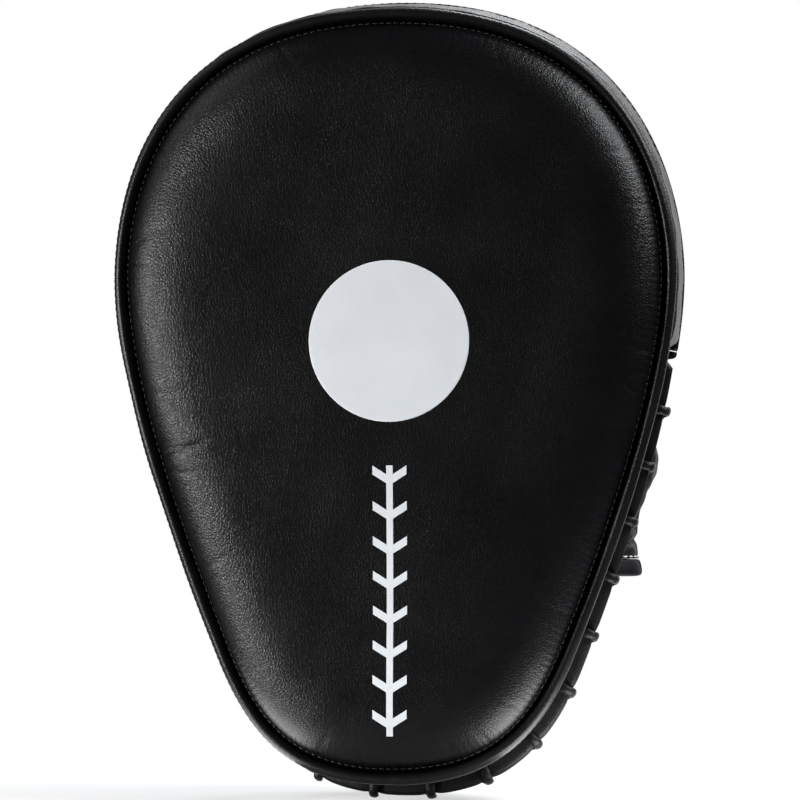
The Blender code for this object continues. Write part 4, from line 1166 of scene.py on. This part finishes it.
def wrist_channels(p):
    """Two sewn lines across the wrist cushion, and a flat underside."""
    top = np.clip((p[:, 1] - 4.5) / 2.0, 0, 1)
    for x in (-9.4, 9.4):
        p[:, 1] -= top * 1.9 * bump(p[:, 0] - x, 1.5)
    return p


wrist_start = block_grid((54.0, 5.0, 32.0), (0.0, 5.0, 0.0), 2.2, lambda p: p, 60, 50)
cushion("wrist_cushion_fabric", "wrist_cushion", wrist_start, CUSHION_FABRIC, "pad", wrist_channels, 1.62,
        8.5)


def strap_channels(p):
    """Three sewn lines across the strap's cushion; it stays under the band."""
    angle = np.degrees(np.arctan2((p[:, 1] - ARCH_BASE_Y) / ARCH_HEIGHT, p[:, 0] / ARCH_HALF_WIDTH))
    size = np.hypot(p[:, 0] / ARCH_HALF_WIDTH, (p[:, 1] - ARCH_BASE_Y) / ARCH_HEIGHT)
    inner_side = np.clip((1.09 - size) / 0.05, 0, 1)
    push = sum(bump(angle - a, 2.2) for a in (112, 132, 152)) * 1.3 * inner_side
    limit = 1.0 + (BAND_OFFSET - 0.32) / (ARCH_HALF_WIDTH + 2.5)
    scale = np.minimum(size + push / 40.0, limit) / np.maximum(size, 1e-6)
    p[:, 0] *= scale
    p[:, 1] = ARCH_BASE_Y + (p[:, 1] - ARCH_BASE_Y) * scale
    return p


strap_start, _, _ = arch_grid(170, 94, 1.3, 4.2, 29.0, steps=90, around=64, corner=3.0)
cushion("strap_cushion_fabric", "strap_cushion", strap_start, CUSHION_FABRIC, "strap", strap_channels, None,
        None)

# ---------------------------------------------------------------- carried-over parts
for name, look in (("impact_foam", SOFT_FOAM), ("core_foam", DENSE_FOAM), ("backing_board", DENSE_FOAM),
                   ("hood_foam", SOFT_FOAM), ("palm_ball_core", DENSE_FOAM)):
    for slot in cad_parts[name].material_slots:
        slot.material = look

# ---------------------------------------------------------------- stage, lights and camera
CENTRE = Vector((0.0, 0.0, 0.022))
AZIMUTH, ELEVATION, ROLL = math.radians(7.64), math.radians(-1.0), math.radians(-0.36)
DISTANCE, FRAME_WIDTH, SENSOR = 1.462, 0.27752, 36.0
AIM_RIGHT, AIM_UP = -0.00164, 0.00073
away = Vector((math.sin(AZIMUTH) * math.cos(ELEVATION), -math.cos(AZIMUTH) * math.cos(ELEVATION),
               math.sin(ELEVATION)))
right = Vector((math.cos(AZIMUTH), math.sin(AZIMUTH), 0.0))
up = right.cross(-away)
right, up = right * math.cos(ROLL) + up * math.sin(ROLL), up * math.cos(ROLL) - right * math.sin(ROLL)
camera_data = bpy.data.cameras.new("camera")
camera_data.sensor_width = SENSOR
camera_data.lens = SENSOR * DISTANCE / FRAME_WIDTH
camera = bpy.data.objects.new("camera", camera_data)
camera.matrix_world = Matrix.Translation(CENTRE + away * DISTANCE + right * AIM_RIGHT + up * AIM_UP) @ Matrix(
    (right, up, away)).transposed().to_4x4()
bpy.context.scene.collection.objects.link(camera)
bpy.context.scene.camera = camera

floor_look, tree, shader = nodes_of("floor_paper")
grain = noise(tree, object_coords(tree), 350.0, 3.0)
tree.links.new(ramp(tree, grain, 0.3, 0.7, (0.93, 0.93, 0.93), (0.96, 0.96, 0.96)),
               shader.inputs["Base Color"])
shader.inputs["Roughness"].default_value = 1.0
shader.inputs["Specular IOR Level"].default_value = 0.0
reach = node(tree, "ShaderNodeVectorMath", operation="LENGTH")
tree.links.new(object_coords(tree), reach.inputs[0])
tree.links.new(remap(tree, reach.outputs["Value"], 0.15, 0.28, 0.6, 0.0), shader.inputs["Alpha"])
FLOOR_Z = CAD_BOX[0][2] - 0.0006
floor_mesh = bpy.data.meshes.new("floor")
corners = [(-4, -3, FLOOR_Z), (4, -3, FLOOR_Z), (4, 4, FLOOR_Z), (-4, 4, FLOOR_Z)]
floor_mesh.from_pydata(corners, [], [(0, 1, 2, 3)])
floor_mesh.materials.append(floor_look)
floor = bpy.data.objects.new("floor", floor_mesh)
bpy.context.scene.collection.objects.link(floor)

world = bpy.data.worlds.new("studio")
bpy.context.scene.world = world
world.use_nodes = True
tree = world.node_tree
background = tree.nodes["Background"]
toward = tree.nodes.new("ShaderNodeSeparateXYZ")
tree.links.new(tree.nodes.new("ShaderNodeTexCoord").outputs["Generated"], toward.inputs[0])
behind = remap(tree, toward.outputs["Y"], 0.55, 0.95, 0.03, 1.0)
path_kind = tree.nodes.new("ShaderNodeLightPath")
strength = maths(tree, "MAXIMUM", behind, path_kind.outputs["Is Camera Ray"])
tree.links.new(strength, background.inputs["Strength"])
background.inputs["Color"].default_value = (1.0, 1.0, 1.0, 1.0)
bpy.context.scene.view_settings.view_transform = "Standard"


def softbox(name, place, aim, size, power, tint):
    """A rectangular area light that looks at a point."""
    light = bpy.data.lights.new(name, "AREA")
    light.shape = "RECTANGLE"
    light.size, light.size_y = size
    light.energy = power
    light.color = tint
    made = bpy.data.objects.new(name, light)
    made.location = place
    made.rotation_euler = (Vector(aim) - Vector(place)).to_track_quat("-Z", "Y").to_euler()
    bpy.context.scene.collection.objects.link(made)


LIGHTS = (
    ("left_high", (-1.1, -0.35, 0.9), (0.6, 0.6), 3, (0.96, 0.98, 1.0)),
    ("right_high", (1.1, -0.30, 0.9), (0.6, 0.6), 18, (0.96, 0.98, 1.0)),
    ("left_kick", (-0.9, -0.5, -0.03), (0.5, 0.12), 3.4, (1.0, 1.0, 1.0)),
    ("left_mid", (-1.0, -0.9, 0.02), (0.2, 0.3), 9.5, (1.0, 1.0, 1.0)),
    ("right_back", (1.3, 0.4, 0.9), (0.9, 0.9), 5, (0.95, 0.97, 1.0)),
    ("top_back", (0.5, 0.9, 1.4), (1.2, 0.8), 26, (0.95, 0.97, 1.0)),
)
for name, place, size, power, tint in LIGHTS:
    softbox(name, place, (0, 0, 0.02), size, power, tint)
# Two low panels on the floor put the light on the lower shoulders
LOW = CAD_BOX[0][2] + 0.0004
softbox("floor_left", (-0.090, -0.045, LOW), (-0.090, -0.045, 0.1), (0.09, 0.06), 0.13, (1.0, 1.0, 1.0))
softbox("floor_right", (0.082, -0.045, LOW), (0.082, -0.045, 0.1), (0.07, 0.06), 0.13, (1.0, 1.0, 1.0))
